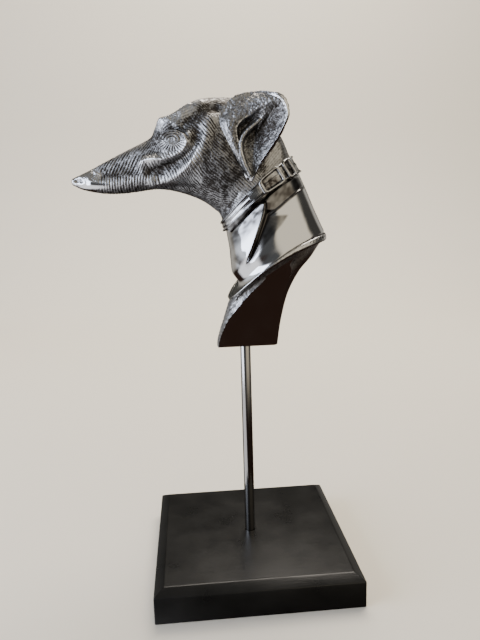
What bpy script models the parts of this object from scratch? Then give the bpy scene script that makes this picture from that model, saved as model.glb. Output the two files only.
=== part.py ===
"""A greyhound's head and neck, cast in aluminium, on a steel rod that stands in a black wooden block.

Run with: blender --background --python part.py

Metres, +Z up. The hound looks along -X, the XZ plane cuts it in two equal halves, and the origin
is the middle of the block's underside.
"""

import math

import bmesh
import bpy
import numpy as np

# Block
BLOCK_LENGTH = 0.150
BLOCK_WIDTH = 0.150
BLOCK_HEIGHT = 0.024
CHAMFER_INSET = 0.007
CHAMFER_DROP = 0.004

# Rod, and the blind holes that it stands in
ROD_DIAMETER = 0.008
ROD_SHOWING = 0.155
ROD_IN_BLOCK = 0.016
ROD_IN_BUST = 0.030
ROD_END_BEVEL = 0.0006
SEAT_GAP = 0.0003

# Casting. Its free form is given in shares of its own height: every point of the figure below is in
# "figure millimetres", of which FIGURE_HEIGHT make up BUST_HEIGHT.
BUST_HEIGHT = 0.181
FIGURE_HEIGHT = 181.0
FIGURE_UNIT = BUST_HEIGHT / FIGURE_HEIGHT
FOOT_LEVEL = BLOCK_HEIGHT + ROD_SHOWING

# Sections of head, neck and coat, from the nose down to the hem. Each lies in a plane across the
# profile, through a point of the throat line and a point of the crown line, both (x, z).
# Then come its half width, its skew (above 0, it is wider towards the throat), its squareness
# (below 1, boxier than an ellipse) and its arch (how far its sides bow towards the nose).
BODY_PLAN = (
    # place            throat            crown             half   skew  square arch
    ("nose front",     (-119.4, 121.6),  (-119.8, 127.0),   3.4,  0.00,  0.85,  0.0),
    ("nostril",        (-114.2, 119.0),  (-113.8, 129.6),   6.4,  0.08,  0.80,  0.0),
    ("nose back",      (-106.8, 117.0),  (-105.8, 133.2),   8.6,  0.14,  0.84,  0.0),
    ("muzzle front",   (-96.5, 115.4),   (-93.0, 139.6),   10.4,  0.18,  0.86,  0.0),
    ("muzzle middle",  (-84.5, 115.4),   (-80.0, 145.9),   12.4,  0.20,  0.86,  0.0),
    ("muzzle root",    (-74.5, 116.4),   (-69.5, 150.6),   14.8,  0.18,  0.86,  0.0),
    ("stop",           (-66.5, 117.4),   (-63.2, 154.4),   17.2,  0.14,  0.86,  0.0),
    ("brow foot",      (-60.5, 117.8),   (-59.4, 161.6),   19.6,  0.08,  0.84,  0.0),
    ("brow",           (-53.5, 117.2),   (-54.4, 166.6),   22.0,  0.04,  0.82,  0.0),
    ("eye",            (-46.0, 115.6),   (-46.5, 169.6),   23.8,  0.02,  0.84,  0.0),
    ("forehead",       (-39.0, 113.4),   (-38.0, 175.0),   25.2,  0.02,  0.86,  0.0),
    ("skull",          (-32.0, 110.6),   (-26.5, 179.4),   26.6,  0.02,  0.88,  0.0),
    ("temple",         (-25.6, 107.0),   (-7.0, 180.0),    27.4,  0.00,  0.90,  0.0),
    ("cheek",          (-20.0, 102.6),   (8.0, 176.4),     27.2, -0.02,  0.92,  0.0),
    ("occiput",        (-17.0, 100.2),   (21.5, 165.6),    26.2, -0.04,  0.94,  1.0),
    ("nape",           (-15.2, 96.8),    (30.4, 151.4),    25.0, -0.04,  0.96,  2.5),
    ("collar top",     (-14.2, 93.0),    (36.0, 138.6),    24.6, -0.02,  0.96,  4.0),
    ("collar bottom",  (-12.4, 86.6),    (42.8, 127.0),    25.6,  0.00,  0.96,  4.5),
    ("coat top",       (-11.6, 81.6),    (48.4, 114.6),    27.2,  0.02,  0.96,  5.0),
    ("coat upper",     (-10.4, 73.6),    (53.8, 101.6),    29.2,  0.04,  0.94,  5.5),
    ("coat middle",    (-9.8, 64.6),     (58.4, 91.4),     30.6,  0.05,  0.94,  6.5),
    ("coat lower",     (-8.8, 55.6),     (61.0, 85.8),     31.4,  0.05,  0.92,  7.5),
    ("waist",          (-4.6, 48.4),     (61.8, 83.4),     31.8,  0.04,  0.90,  8.0),
    ("hem flare",      (-6.0, 42.4),     (62.3, 82.0),     32.4,  0.03,  0.88,  8.0),
    ("hem",            (-12.2, 36.6),    (62.6, 80.2),     33.0,  0.02,  0.88,  8.0),
)

# The foot under the hem, in the same terms, down to the cut where the rod enters.
FOOT_PLAN = (
    ("under the hem",  (-9.8, 36.4),     (59.2, 78.4),     30.2,  0.02,  0.88,  8.0),
    ("upper chest",    (-12.4, 29.8),    (49.4, 67.2),     22.3, -0.31,  0.42,  7.0),
    ("middle chest",   (-14.6, 23.0),    (40.0, 56.4),     21.2, -0.27,  0.36,  5.0),
    ("lower chest",    (-17.0, 15.4),    (32.2, 40.4),     21.7, -0.04,  0.41,  3.0),
    ("near the cut",   (-19.6, 7.6),     (27.2, 20.2),     19.3,  0.22,  0.36,  1.0),
    ("cut",            (-21.6, 0.0),     (24.6, 0.0),      13.8,  0.20,  0.50,  0.0),
)

NOSE_CAP_DEPTH = 1.8

# The hem's lip, under its widest ring: share of that ring's size, and how far down and back it lies.
HEM_LIP = ((0.992, 0.9, 0.4), (0.965, 1.3, 0.7))

# The two polished flats that thin the foot to a wedge: half the wedge's thickness at the cut, and
# how much farther out each flat lies for every unit of height. Seen from the side, the cut stays
# inside a line (x, z) that runs along under the hem.
FLAT_HALF_THICKNESS = 8.0
FLAT_SLOPE = 0.26
FLAT_REACH = (
    (-60.0, -4.0), (66.0, -4.0), (66.0, 68.0), (44.0, 69.0), (33.0, 66.4), (26.0, 62.2),
    (12.0, 52.6), (0.0, 43.6), (-6.0, 38.6), (-12.0, 33.0), (-20.0, 26.0), (-60.0, 20.0),
)
FLAT_CUT_DEPTH = 60.0

# Carving on the sides of the head and coat, as strokes seen from the side: the line (x, z) that each
# follows, its reach to either side and its height, which is below 0 for a hollow.
HEAD_STROKES = (
    ("lip",               ((-106.0, 122.0), (-92.0, 121.6), (-76.0, 123.0), (-64.0, 125.2)),     3.8,  1.5),
    ("muzzle hollow",     ((-98.0, 129.6), (-86.0, 131.2), (-75.0, 132.6)),                      4.0, -1.6),
    ("nasal bone",        ((-100.0, 134.8), (-86.0, 140.0), (-72.0, 145.4)),                     3.6,  0.8),
    ("cheekbone",         ((-71.0, 134.0), (-66.0, 137.0), (-57.0, 137.6), (-49.0, 138.8),
                           (-42.6, 141.6), (-38.4, 146.4), (-37.6, 152.0)),                      3.0,  2.5),
    ("cheek furrow",      ((-64.0, 128.8), (-56.0, 130.6), (-46.0, 134.6), (-38.0, 139.4),
                           (-32.4, 146.0), (-30.2, 153.0)),                                      3.8, -2.5),
    ("jaw",               ((-62.0, 121.6), (-53.0, 123.4), (-45.4, 126.4), (-38.2, 132.0),
                           (-33.0, 139.0), (-28.0, 147.6), (-25.0, 156.0), (-22.0, 164.0)),      4.0,  2.4),
    ("under the jaw",     ((-56.0, 118.0), (-44.0, 117.4), (-34.0, 116.4)),                      3.2, -1.8),
    ("eye socket front",  ((-57.4, 156.0), (-60.0, 149.5), (-59.6, 143.0)),                      3.2, -1.6),
    ("eyelid crease",     ((-55.0, 157.4), (-48.5, 158.4), (-42.0, 156.6)),                      2.6, -2.0),
    ("brow ridge",        ((-56.6, 163.4), (-51.0, 163.2), (-44.0, 166.4), (-36.0, 171.4),
                           (-28.0, 174.4)),                                                      3.4,  2.8),
    ("temple hollow",     ((-40.0, 160.6), (-34.0, 165.0), (-26.0, 168.6), (-18.0, 170.2)),      4.0, -2.6),
    ("eyeball",           ((-52.0, 149.4), (-45.6, 150.4)),                                      4.8,  2.6),
    ("masseter",          ((-18.0, 142.0), (-13.0, 130.0)),                                     13.0,  1.6),
    ("nostril",           ((-117.4, 125.0), (-115.6, 125.8)),                                    1.3, -1.0),
)

# Two edges on the coat, seen from the side. The surface in front of the fold stands proud and rolls
# off sharply behind it; above the neckline the coat drops back to the neck.
COAT_FOLD = ((14.6, 107.0), (14.0, 98.6), (9.6, 86.6), (4.6, 73.0), (-1.6, 60.6))
COAT_FOLD_HEIGHT = 3.4
COAT_FOLD_BLUNTNESS = 2.2
COAT_NECKLINE = ((62.0, 124.0), (45.0, 116.4), (37.6, 112.0), (30.2, 107.2), (24.0, 102.4), (18.6, 99.0), (13.0, 96.6))
COAT_NECKLINE_HEIGHT = 1.5

# The left ear, seen from the side and seated at its hollow. Round its outline run the rim's (x, z)
# and distance from the middle plane, then where the lip of the hollow lies as a share of the way out
# to the rim, the lip's distance from the middle plane, and how steeply the hollow falls from it.
EAR_OUTLINE = (
    # place            rim              side   lip    side  fall
    ("tip",            (4.6, 122.0),    24.8,  0.94,  25.6,  1.8),
    ("low back",       (10.6, 132.2),   29.4,  0.97,  29.8,  1.5),
    ("middle back",    (17.6, 142.0),   33.6,  0.97,  34.0,  1.5),
    ("high back",      (24.6, 152.8),   36.8,  0.97,  37.2,  1.6),
    ("back shoulder",  (28.8, 163.6),   38.4,  0.97,  38.8,  1.8),
    ("top back",       (25.4, 173.6),   37.4,  0.94,  37.6,  2.2),
    ("top",            (15.0, 178.8),   33.0,  0.80,  34.4,  3.0),
    ("top front",      (2.4, 179.4),    17.0,  0.66,  31.4,  5.0),
    ("front shoulder", (-8.4, 174.6),   10.0,  0.50,  29.8,  6.0),
    ("front",          (-15.6, 162.0),  20.0,  0.52,  29.2,  7.0),
    ("front middle",   (-12.4, 147.4),  21.6,  0.60,  28.8,  6.0),
    ("front low",      (-5.0, 134.0),   22.6,  0.74,  27.4,  4.0),
)
EAR_HOLLOW = (8.0, 150.0)
EAR_FLOOR_SIDE = 24.6
EAR_ROOT_SIDE = 8.0
EAR_RIM_ROLL = 1.5
EAR_RIM_THICKNESS = 2.6
EAR_FOLD = ((15.4, 166.0), (10.2, 161.0), (5.0, 155.6), (0.6, 150.6), (-1.4, 145.0), (-1.0, 138.2), (1.0, 132.0))
EAR_FOLD_SIDE = 28.2
EAR_FOLD_REACH = 2.3

# Collar, in its own terms: turns round the neck from the crown (0) over the left side to the throat
# (0.5), share of the strap's width from its top edge (0) to its bottom edge (1), and height.
STRAP_PROFILE = (
    (0.00, 0.0),
    (0.00, 2.0),
    (0.09, 2.1),
    (0.16, 1.1),
    (0.50, 1.3),
    (0.84, 1.1),
    (0.91, 2.1),
    (1.00, 2.0),
    (1.00, 0.0),
)
STRAP_HEIGHT = 1.1
PLATE_SINK = 1.0
STRAP_CLEARANCE = 0.15
BUCKLE_TURNS = (0.152, 0.244)
KEEPER_TURNS = (0.088, 0.138)
TONGUE_TURNS = (0.236, 0.292)
FRAME_BAR = 0.15
FRAME_RISE = 1.9

BODY_AROUND = 46
BODY_RINGS = 56
HEAD_FINENESS = 1.7
FOOT_RINGS = 11
EAR_AROUND = 30
EAR_RINGS = 13
MERGE_DISTANCE = 0.00001


def clear_scene():
    for obj in list(bpy.data.objects):
        bpy.data.objects.remove(obj, do_unlink=True)


def spline(values, at, closed=False):
    """A smooth curve through the rows of values, read at at, where row k lies at k."""
    rows = np.asarray(values, float)
    count = len(rows)
    at = np.asarray(at, float)
    start = np.floor(at).astype(int) if closed else np.clip(np.floor(at).astype(int), 0, count - 2)
    share = (at - start)[..., None]
    taken = [
        rows[(start + step) % count] if closed else rows[np.clip(start + step, 0, count - 1)]
        for step in (-1, 0, 1, 2)
    ]
    before, here, after, beyond = taken
    return 0.5 * (
        2 * here
        + (after - before) * share
        + (2 * before - 5 * here + 4 * after - beyond) * share**2
        + (3 * here - before - 3 * after + beyond) * share**3
    )


def smooth_step(low, high, value):
    share = np.clip((value - low) / (high - low), 0.0, 1.0)
    return share * share * (3 - 2 * share)


def distance_to_line(points, line):
    """Distance of each (x, z) point from a smooth line, above 0 on its right-hand side, and how far along."""
    finer = spline(line, np.linspace(0, len(line) - 1, 6 * len(line)))
    best = np.full(points.shape[:-1], np.inf)
    side = np.ones(best.shape)
    along = np.zeros(best.shape)
    for number, (start, end) in enumerate(zip(finer[:-1], finer[1:])):
        step = end - start
        offset = points - start
        share = np.clip(offset @ step / (step @ step), 0.0, 1.0)
        apart = np.linalg.norm(offset - share[..., None] * step, axis=-1)
        nearer = apart < best
        best = np.where(nearer, apart, best)
        turn = offset[..., 0] * step[1] - offset[..., 1] * step[0]
        side = np.where(nearer, np.sign(turn), side)
        along = np.where(nearer, (number + share) / (len(finer) - 1), along)
    return best * side, along


def plan_rows(plan):
    return np.array([[*throat, *crown, *rest] for _, throat, crown, *rest in plan])


def place_in(plan, name):
    return [row[0] for row in plan].index(name)


def section_points(plan, station, turns):
    """Points of the sections at the stations, at turns from the crown over the left side."""
    throat_x, throat_z, crown_x, crown_z, half, skew, square, arch = np.moveaxis(
        spline(plan_rows(plan), station), -1, 0
    )
    lengthwise = np.cos(2 * math.pi * turns)
    sideways = np.sin(2 * math.pi * turns)
    reach = (lengthwise + 1) / 2
    width = np.sign(sideways) * np.abs(sideways) ** square * half * (1 - skew * lengthwise)
    span_x, span_z = crown_x - throat_x, crown_z - throat_z
    span = np.maximum(np.hypot(span_x, span_z), 1e-6)
    lift = arch * sideways**2
    return np.stack(
        [
            throat_x + reach * span_x - lift * span_z / span,
            -width,
            throat_z + reach * span_z + lift * span_x / span,
        ],
        axis=-1,
    )


def even_stations(plan, count, busy=0, weight=1.0):
    """Stations that lie equally far apart along the middle of the plan, and closer before station busy."""
    fine = np.linspace(0, len(plan) - 1, 1200)
    rows = spline(plan_rows(plan), fine)
    middle = (rows[:, 0:2] + rows[:, 2:4]) / 2
    gaps = np.linalg.norm(np.diff(middle, axis=0), axis=1) + 0.012
    gaps *= np.where(fine[1:] < busy, weight, 1.0)
    walked = np.concatenate([[0.0], np.cumsum(gaps)])
    return np.interp(np.linspace(0, walked[-1], count), walked, fine)


def outward_normals(grid):
    """Normals of a grid of rings, each of which closes on itself."""
    across = np.roll(grid, -1, axis=1) - np.roll(grid, 1, axis=1)
    down = np.gradient(grid, axis=0)
    normal = np.cross(across, down)
    return normal / np.maximum(np.linalg.norm(normal, axis=-1, keepdims=True), 1e-9)


def carved_height(points, side_share):
    """How far the strokes raise the surface at each point."""
    seen = points[..., [0, 2]]
    on_side = smooth_step(0.15, 0.5, side_share)
    height = np.zeros(side_share.shape)
    for _, line, reach, rise in HEAD_STROKES:
        apart, _ = distance_to_line(seen, line)
        height += rise * np.exp(-((apart / reach) ** 2)) * on_side
    apart, along = distance_to_line(seen, COAT_FOLD)
    fades = smooth_step(0.0, 0.06, along) * (1 - smooth_step(0.72, 1.0, along))
    rolled = np.where(apart > 0, np.exp(-apart / 9.0), -0.9 * np.exp(apart / 7.0))
    near = np.tanh(np.abs(apart) / COAT_FOLD_BLUNTNESS)
    coat = smooth_step(COAT_FOLD[0][1] + 3.0, COAT_FOLD[0][1] - 1.0, seen[..., 1])
    height += COAT_FOLD_HEIGHT * rolled * near * fades * on_side * coat
    apart, along = distance_to_line(seen, COAT_NECKLINE)
    neck = smooth_step(0.3, 1.8, apart) * (1 - smooth_step(9.0, 12.0, apart)) * on_side
    behind_fold = smooth_step(13.0, 17.0, seen[..., 0])
    height -= COAT_NECKLINE_HEIGHT * neck * behind_fold * (seen[..., 1] < 124.0)
    return height


def body_rings():
    """The head, neck, coat and foot as a grid of rings, from the nose to the cut where the rod enters."""
    turns = np.arange(BODY_AROUND) / BODY_AROUND
    cheek, top, bottom = (place_in(BODY_PLAN, name) for name in ("cheek", "collar top", "collar bottom"))
    stations = even_stations(BODY_PLAN, BODY_RINGS, cheek, HEAD_FINENESS)
    stations = stations[(stations < top - STRAP_CLEARANCE) | (stations > bottom + STRAP_CLEARANCE)]
    strap = np.array(STRAP_PROFILE)
    raised = np.concatenate([np.zeros(len(stations)), strap[:, 1]])
    stations = np.concatenate([stations, top + (bottom - top) * strap[:, 0]])
    order = np.argsort(stations, kind="stable")
    stations, raised = stations[order], raised[order]
    grid = section_points(BODY_PLAN, stations[:, None], turns[None, :])
    side_share = np.abs(np.sin(2 * math.pi * turns))[None, :] * np.ones((len(stations), 1))
    height = carved_height(grid, side_share) + raised[:, None]
    grid = grid + outward_normals(grid) * height[..., None]
    nose = [
        shrunk(grid[0], math.sin(angle), (-NOSE_CAP_DEPTH * math.cos(angle), 0, 0))
        for angle in (math.radians(22), math.radians(48), math.radians(72))
    ]
    lip = [shrunk(grid[-1], share, (back, 0, -down)) for share, down, back in HEM_LIP]
    foot_stations = np.linspace(0, len(FOOT_PLAN) - 1, FOOT_RINGS)
    foot = section_points(FOOT_PLAN, foot_stations[:, None], turns[None, :])
    return np.concatenate([np.array(nose), grid, np.array(lip), foot, [shrunk(foot[-1], 0.5, (0, 0, 0))]])


def shrunk(ring, share, move):
    middle = ring.mean(axis=0)
    return middle + (ring - middle) * share + np.array(move)


def ear_rings():
    """The left ear as rings, from the middle of its hollow out to the rim and back to its root."""
    turns = np.arange(EAR_AROUND) / EAR_AROUND
    rows = np.array([[*rim, *rest] for _, rim, *rest in EAR_OUTLINE])
    x, z, side, lip, lip_side, fall = np.moveaxis(
        spline(rows, turns * len(rows), closed=True), -1, 0
    )
    centre_x, centre_z = EAR_HOLLOW
    inner = EAR_RINGS * 2 // 3
    rings = []
    for way_out in np.linspace(0, 1, inner + 1)[1:] ** 0.85:
        seen_x = centre_x + way_out * (x - centre_x)
        seen_z = centre_z + way_out * (z - centre_z)
        inside = EAR_FLOOR_SIDE + (lip_side - EAR_FLOOR_SIDE) * np.minimum(way_out / lip, 1) ** fall
        past = np.clip((way_out - lip) / np.maximum(1 - lip, 1e-6), 0, 1)
        out = inside + (side - lip_side) * past**1.5
        apart, along = distance_to_line(np.stack([seen_x, seen_z], -1), EAR_FOLD)
        fold = EAR_FLOOR_SIDE + (EAR_FOLD_SIDE - EAR_FLOOR_SIDE) * np.exp(-((apart / EAR_FOLD_REACH) ** 2))
        rings.append(np.stack([seen_x, -np.maximum(out, fold), seen_z], -1))
    away = np.stack([x - centre_x, z - centre_z], -1)
    away /= np.linalg.norm(away, axis=-1, keepdims=True)
    for roll, back in ((1.0, 0.35), (0.9, 1.0)):
        rings.append(
            np.stack(
                [
                    x + away[:, 0] * EAR_RIM_ROLL * roll,
                    -(side - EAR_RIM_THICKNESS * back),
                    z + away[:, 1] * EAR_RIM_ROLL * roll,
                ],
                -1,
            )
        )
    back = side - EAR_RIM_THICKNESS
    root = np.minimum(EAR_ROOT_SIDE, back - 2.0)
    for share, depth in ((0.86, 0.28), (0.7, 0.62), (0.52, 1.0)):
        rings.append(
            np.stack(
                [
                    centre_x + share * (x - centre_x),
                    -(back + (root - back) * depth),
                    centre_z + share * (z - centre_z),
                ],
                -1,
            )
        )
    return np.array(rings)


def collar_points(turns, across, height):
    """Points at a height over the neck, in the collar's own terms."""
    top, bottom = place_in(BODY_PLAN, "collar top"), place_in(BODY_PLAN, "collar bottom")
    station = top + (bottom - top) * across
    here = section_points(BODY_PLAN, station, turns)
    step = 0.002
    round_neck = section_points(BODY_PLAN, station, turns + step) - here
    down_neck = section_points(BODY_PLAN, station + step, turns) - here
    normal = np.cross(round_neck, down_neck)
    normal /= np.linalg.norm(normal, axis=-1, keepdims=True)
    return here + normal * np.asarray(height)[..., None]


def in_metres(points):
    return np.asarray(points) * FIGURE_UNIT + np.array([0.0, 0.0, FOOT_LEVEL])


def add_object(name, bm, material=None):
    """An object whose faces point outwards and are triangles, because a Boolean needs flat faces."""
    bmesh.ops.triangulate(bm, faces=bm.faces)
    bmesh.ops.recalc_face_normals(bm, faces=bm.faces)
    if bm.calc_volume(signed=True) < 0:
        bmesh.ops.reverse_faces(bm, faces=bm.faces)
    mesh = bpy.data.meshes.new(name)
    bm.to_mesh(mesh)
    bm.free()
    obj = bpy.data.objects.new(name, mesh)
    bpy.context.scene.collection.objects.link(obj)
    if material:
        mesh.materials.append(material)
    return obj


def shape_from_rings(name, rings, mirrored=False):
    """A closed shape: a sphere whose parallels are pulled onto the rings, and whose poles close the ends."""
    count, around = rings.shape[:2]
    bm = bmesh.new()
    bmesh.ops.create_uvsphere(bm, u_segments=around, v_segments=count + 1, radius=1.0)
    placed = in_metres(rings)
    ends = [placed[0].mean(axis=0), placed[-1].mean(axis=0)]
    for vert in bm.verts:
        parallel = round(math.acos(max(-1.0, min(1.0, vert.co.z))) / math.pi * (count + 1))
        meridian = round(math.atan2(vert.co.y, vert.co.x) / (2 * math.pi) * around) % around
        if parallel == 0:
            vert.co = ends[0]
        elif parallel == count + 1:
            vert.co = ends[1]
        else:
            vert.co = placed[parallel - 1, meridian]
        if mirrored:
            vert.co.y = -vert.co.y
    return add_object(name, bm)


def collar_plate(name, turn_range, across_range, height, frame=0.0, steps=4):
    """A plate that follows the collar. With a frame, its middle lies back at the strap's own height."""
    bm = bmesh.new()
    bmesh.ops.create_cube(bm, size=1.0)
    sides = [edge for edge in bm.edges if abs(edge.verts[0].co.x - edge.verts[1].co.x) > 0.5]
    bmesh.ops.subdivide_edges(bm, edges=sides, cuts=steps - 1, use_grid_fill=True)
    if frame:
        top = [face for face in bm.faces if face.normal.z > 0.9]
        bmesh.ops.inset_region(bm, faces=top, thickness=frame, use_even_offset=True)
        inner = bmesh.ops.extrude_face_region(bm, geom=top)
        bmesh.ops.delete(bm, geom=top, context="FACES")
        moved = [item for item in inner["geom"] if isinstance(item, bmesh.types.BMVert)]
        bmesh.ops.translate(bm, verts=moved, vec=(0, 0, -FRAME_RISE / (height + PLATE_SINK)))
    for vert in bm.verts:
        turn = turn_range[0] + (vert.co.x + 0.5) * (turn_range[1] - turn_range[0])
        across = across_range[0] + (vert.co.y + 0.5) * (across_range[1] - across_range[0])
        up = -PLATE_SINK + (vert.co.z + 0.5) * (height + PLATE_SINK)
        vert.co = in_metres(collar_points(np.array(turn), np.array(across), np.array(up)))
    return add_object(name, bm)


def flat_cutter(name, side):
    """What is cut from one side of the foot: a block whose inner face is the slanting flat."""
    inner = [(x, side * (FLAT_HALF_THICKNESS + FLAT_SLOPE * z), z) for x, z in FLAT_REACH]
    bm = bmesh.new()
    face = bm.faces.new([bm.verts.new(in_metres(corner)) for corner in inner])
    pulled = bmesh.ops.extrude_face_region(bm, geom=[face])
    for vert in (item for item in pulled["geom"] if isinstance(item, bmesh.types.BMVert)):
        vert.co.y = side * FLAT_CUT_DEPTH * FIGURE_UNIT
    return as_helper(add_object(name, bm))


def as_helper(obj):
    obj.hide_render = True
    obj.display_type = "WIRE"
    return obj


def join_by_boolean(obj, other, operation):
    modifier = obj.modifiers.new(f"{operation.lower()} {other.name}", "BOOLEAN")
    modifier.operation = operation
    modifier.object = other
    modifier.solver = "EXACT"
    as_helper(other)


def cylinder(name, radius, bottom, top, sides, bevel=0.0):
    bm = bmesh.new()
    bmesh.ops.create_cone(
        bm, cap_ends=True, segments=sides, radius1=radius, radius2=radius, depth=top - bottom
    )
    bmesh.ops.translate(bm, verts=bm.verts, vec=(0, 0, (top + bottom) / 2))
    if bevel:
        rims = [edge for edge in bm.edges if abs(edge.verts[0].co.z - edge.verts[1].co.z) < 1e-6]
        bmesh.ops.bevel(bm, geom=rims, offset=bevel, segments=1, affect="EDGES")
    return add_object(name, bm)


def metal(name, colour, roughness):
    material = bpy.data.materials.new(name)
    material.use_nodes = True
    shader = material.node_tree.nodes["Principled BSDF"]
    shader.inputs["Base Color"].default_value = (*colour, 1.0)
    shader.inputs["Metallic"].default_value = 1.0
    shader.inputs["Roughness"].default_value = roughness
    return material


def lacquer(name, colour, roughness):
    material = metal(name, colour, roughness)
    material.node_tree.nodes["Principled BSDF"].inputs["Metallic"].default_value = 0.0
    return material


def smooth(obj, angle):
    obj.data.shade_smooth()
    obj.data.set_sharp_from_angle(angle=math.radians(angle))


def build_block():
    """The wooden block: square, with a shallow chamfer round its top and a blind hole for the rod."""
    bm = bmesh.new()
    bmesh.ops.create_cube(bm, size=1.0)
    bmesh.ops.scale(bm, vec=(BLOCK_LENGTH, BLOCK_WIDTH, BLOCK_HEIGHT - CHAMFER_DROP), verts=bm.verts)
    bmesh.ops.translate(bm, vec=(0, 0, (BLOCK_HEIGHT - CHAMFER_DROP) / 2), verts=bm.verts)
    top = [face for face in bm.faces if face.normal.z > 0.9]
    raised = bmesh.ops.extrude_face_region(bm, geom=top)
    bmesh.ops.delete(bm, geom=top, context="FACES_ONLY")
    for vert in (item for item in raised["geom"] if isinstance(item, bmesh.types.BMVert)):
        vert.co.x -= math.copysign(CHAMFER_INSET, vert.co.x)
        vert.co.y -= math.copysign(CHAMFER_INSET, vert.co.y)
        vert.co.z = BLOCK_HEIGHT
    block = add_object("base_block", bm, lacquer("black lacquered wood", (0.012, 0.012, 0.011), 0.45))
    hole = cylinder(
        "block_hole",
        ROD_DIAMETER / 2 + SEAT_GAP,
        BLOCK_HEIGHT - ROD_IN_BLOCK - SEAT_GAP,
        BLOCK_HEIGHT + 0.01,
        32,
    )
    join_by_boolean(block, hole, "DIFFERENCE")
    return block


def build_rod():
    rod = cylinder(
        "support_rod",
        ROD_DIAMETER / 2,
        BLOCK_HEIGHT - ROD_IN_BLOCK,
        FOOT_LEVEL + ROD_IN_BUST - SEAT_GAP,
        32,
        bevel=ROD_END_BEVEL,
    )
    rod.data.materials.append(metal("polished steel", (0.55, 0.54, 0.53), 0.22))
    smooth(rod, 35)
    return rod


def build_bust():
    """The casting: head, neck, coat and foot, with the ears and the buckle grown on and the flats cut."""
    bust = shape_from_rings("greyhound_bust", body_rings())
    ears = ear_rings()
    forms = [
        shape_from_rings("left_ear_form", ears),
        shape_from_rings("right_ear_form", ears, mirrored=True),
        collar_plate("collar_tongue", TONGUE_TURNS, (0.24, 0.76), STRAP_HEIGHT + 1.0),
        collar_plate("collar_keeper", KEEPER_TURNS, (-0.06, 1.06), STRAP_HEIGHT + FRAME_RISE, FRAME_BAR),
        collar_plate("collar_buckle", BUCKLE_TURNS, (-0.08, 1.08), STRAP_HEIGHT + FRAME_RISE, FRAME_BAR),
    ]
    for form in forms:
        smooth(form, 60)
        join_by_boolean(bust, form, "UNION")
    for name, side in (("left_flat", -1), ("right_flat", 1)):
        join_by_boolean(bust, flat_cutter(name, side), "DIFFERENCE")
    hole = cylinder(
        "bust_hole",
        ROD_DIAMETER / 2 + SEAT_GAP,
        FOOT_LEVEL - 0.01,
        FOOT_LEVEL + ROD_IN_BUST,
        32,
    )
    join_by_boolean(bust, hole, "DIFFERENCE")
    bust.data.materials.append(metal("cast aluminium", (0.60, 0.60, 0.60), 0.25))
    smooth(bust, 60)
    return bust


def main():
    clear_scene()
    build_block()
    build_rod()
    build_bust()


main()
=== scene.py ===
"""A greyhound's head and neck, cast in aluminium, on a steel rod that stands in a black wooden block.

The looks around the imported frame. Metres, +Z up. The free form of the casting is given in "figure
millimetres", as in the part's own source: x and y as in the frame, z above the casting's underside.
"""

import math

import bmesh
import bpy
import numpy as np
from mathutils import Matrix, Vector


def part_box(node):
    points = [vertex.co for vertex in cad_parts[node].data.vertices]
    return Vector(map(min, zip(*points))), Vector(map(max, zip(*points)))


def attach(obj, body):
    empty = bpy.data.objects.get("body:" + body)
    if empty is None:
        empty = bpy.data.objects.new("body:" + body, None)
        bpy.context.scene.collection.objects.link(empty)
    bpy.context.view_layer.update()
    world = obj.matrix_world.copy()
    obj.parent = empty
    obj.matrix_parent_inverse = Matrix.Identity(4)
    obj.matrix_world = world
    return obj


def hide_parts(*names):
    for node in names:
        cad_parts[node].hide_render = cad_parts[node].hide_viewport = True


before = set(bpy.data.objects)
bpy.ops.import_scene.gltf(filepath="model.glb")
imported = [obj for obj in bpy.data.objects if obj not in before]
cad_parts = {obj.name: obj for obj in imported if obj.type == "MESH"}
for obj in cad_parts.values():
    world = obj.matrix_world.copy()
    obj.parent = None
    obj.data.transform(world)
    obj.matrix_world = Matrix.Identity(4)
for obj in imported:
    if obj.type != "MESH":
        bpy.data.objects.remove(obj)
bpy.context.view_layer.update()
BUST_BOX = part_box("greyhound_bust")
ROD_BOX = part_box("support_rod")
BLOCK_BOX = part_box("base_block")

bl_info = {
    "name": "Greyhound bust",
    "version": (1, 0, 0),
    "blender": (4, 5, 0),
    "location": "3D View > Sidebar > Greyhound",
    "description": "A cast greyhound's head on a steel rod and a black wooden block",
    "category": "Object",
}

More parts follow.
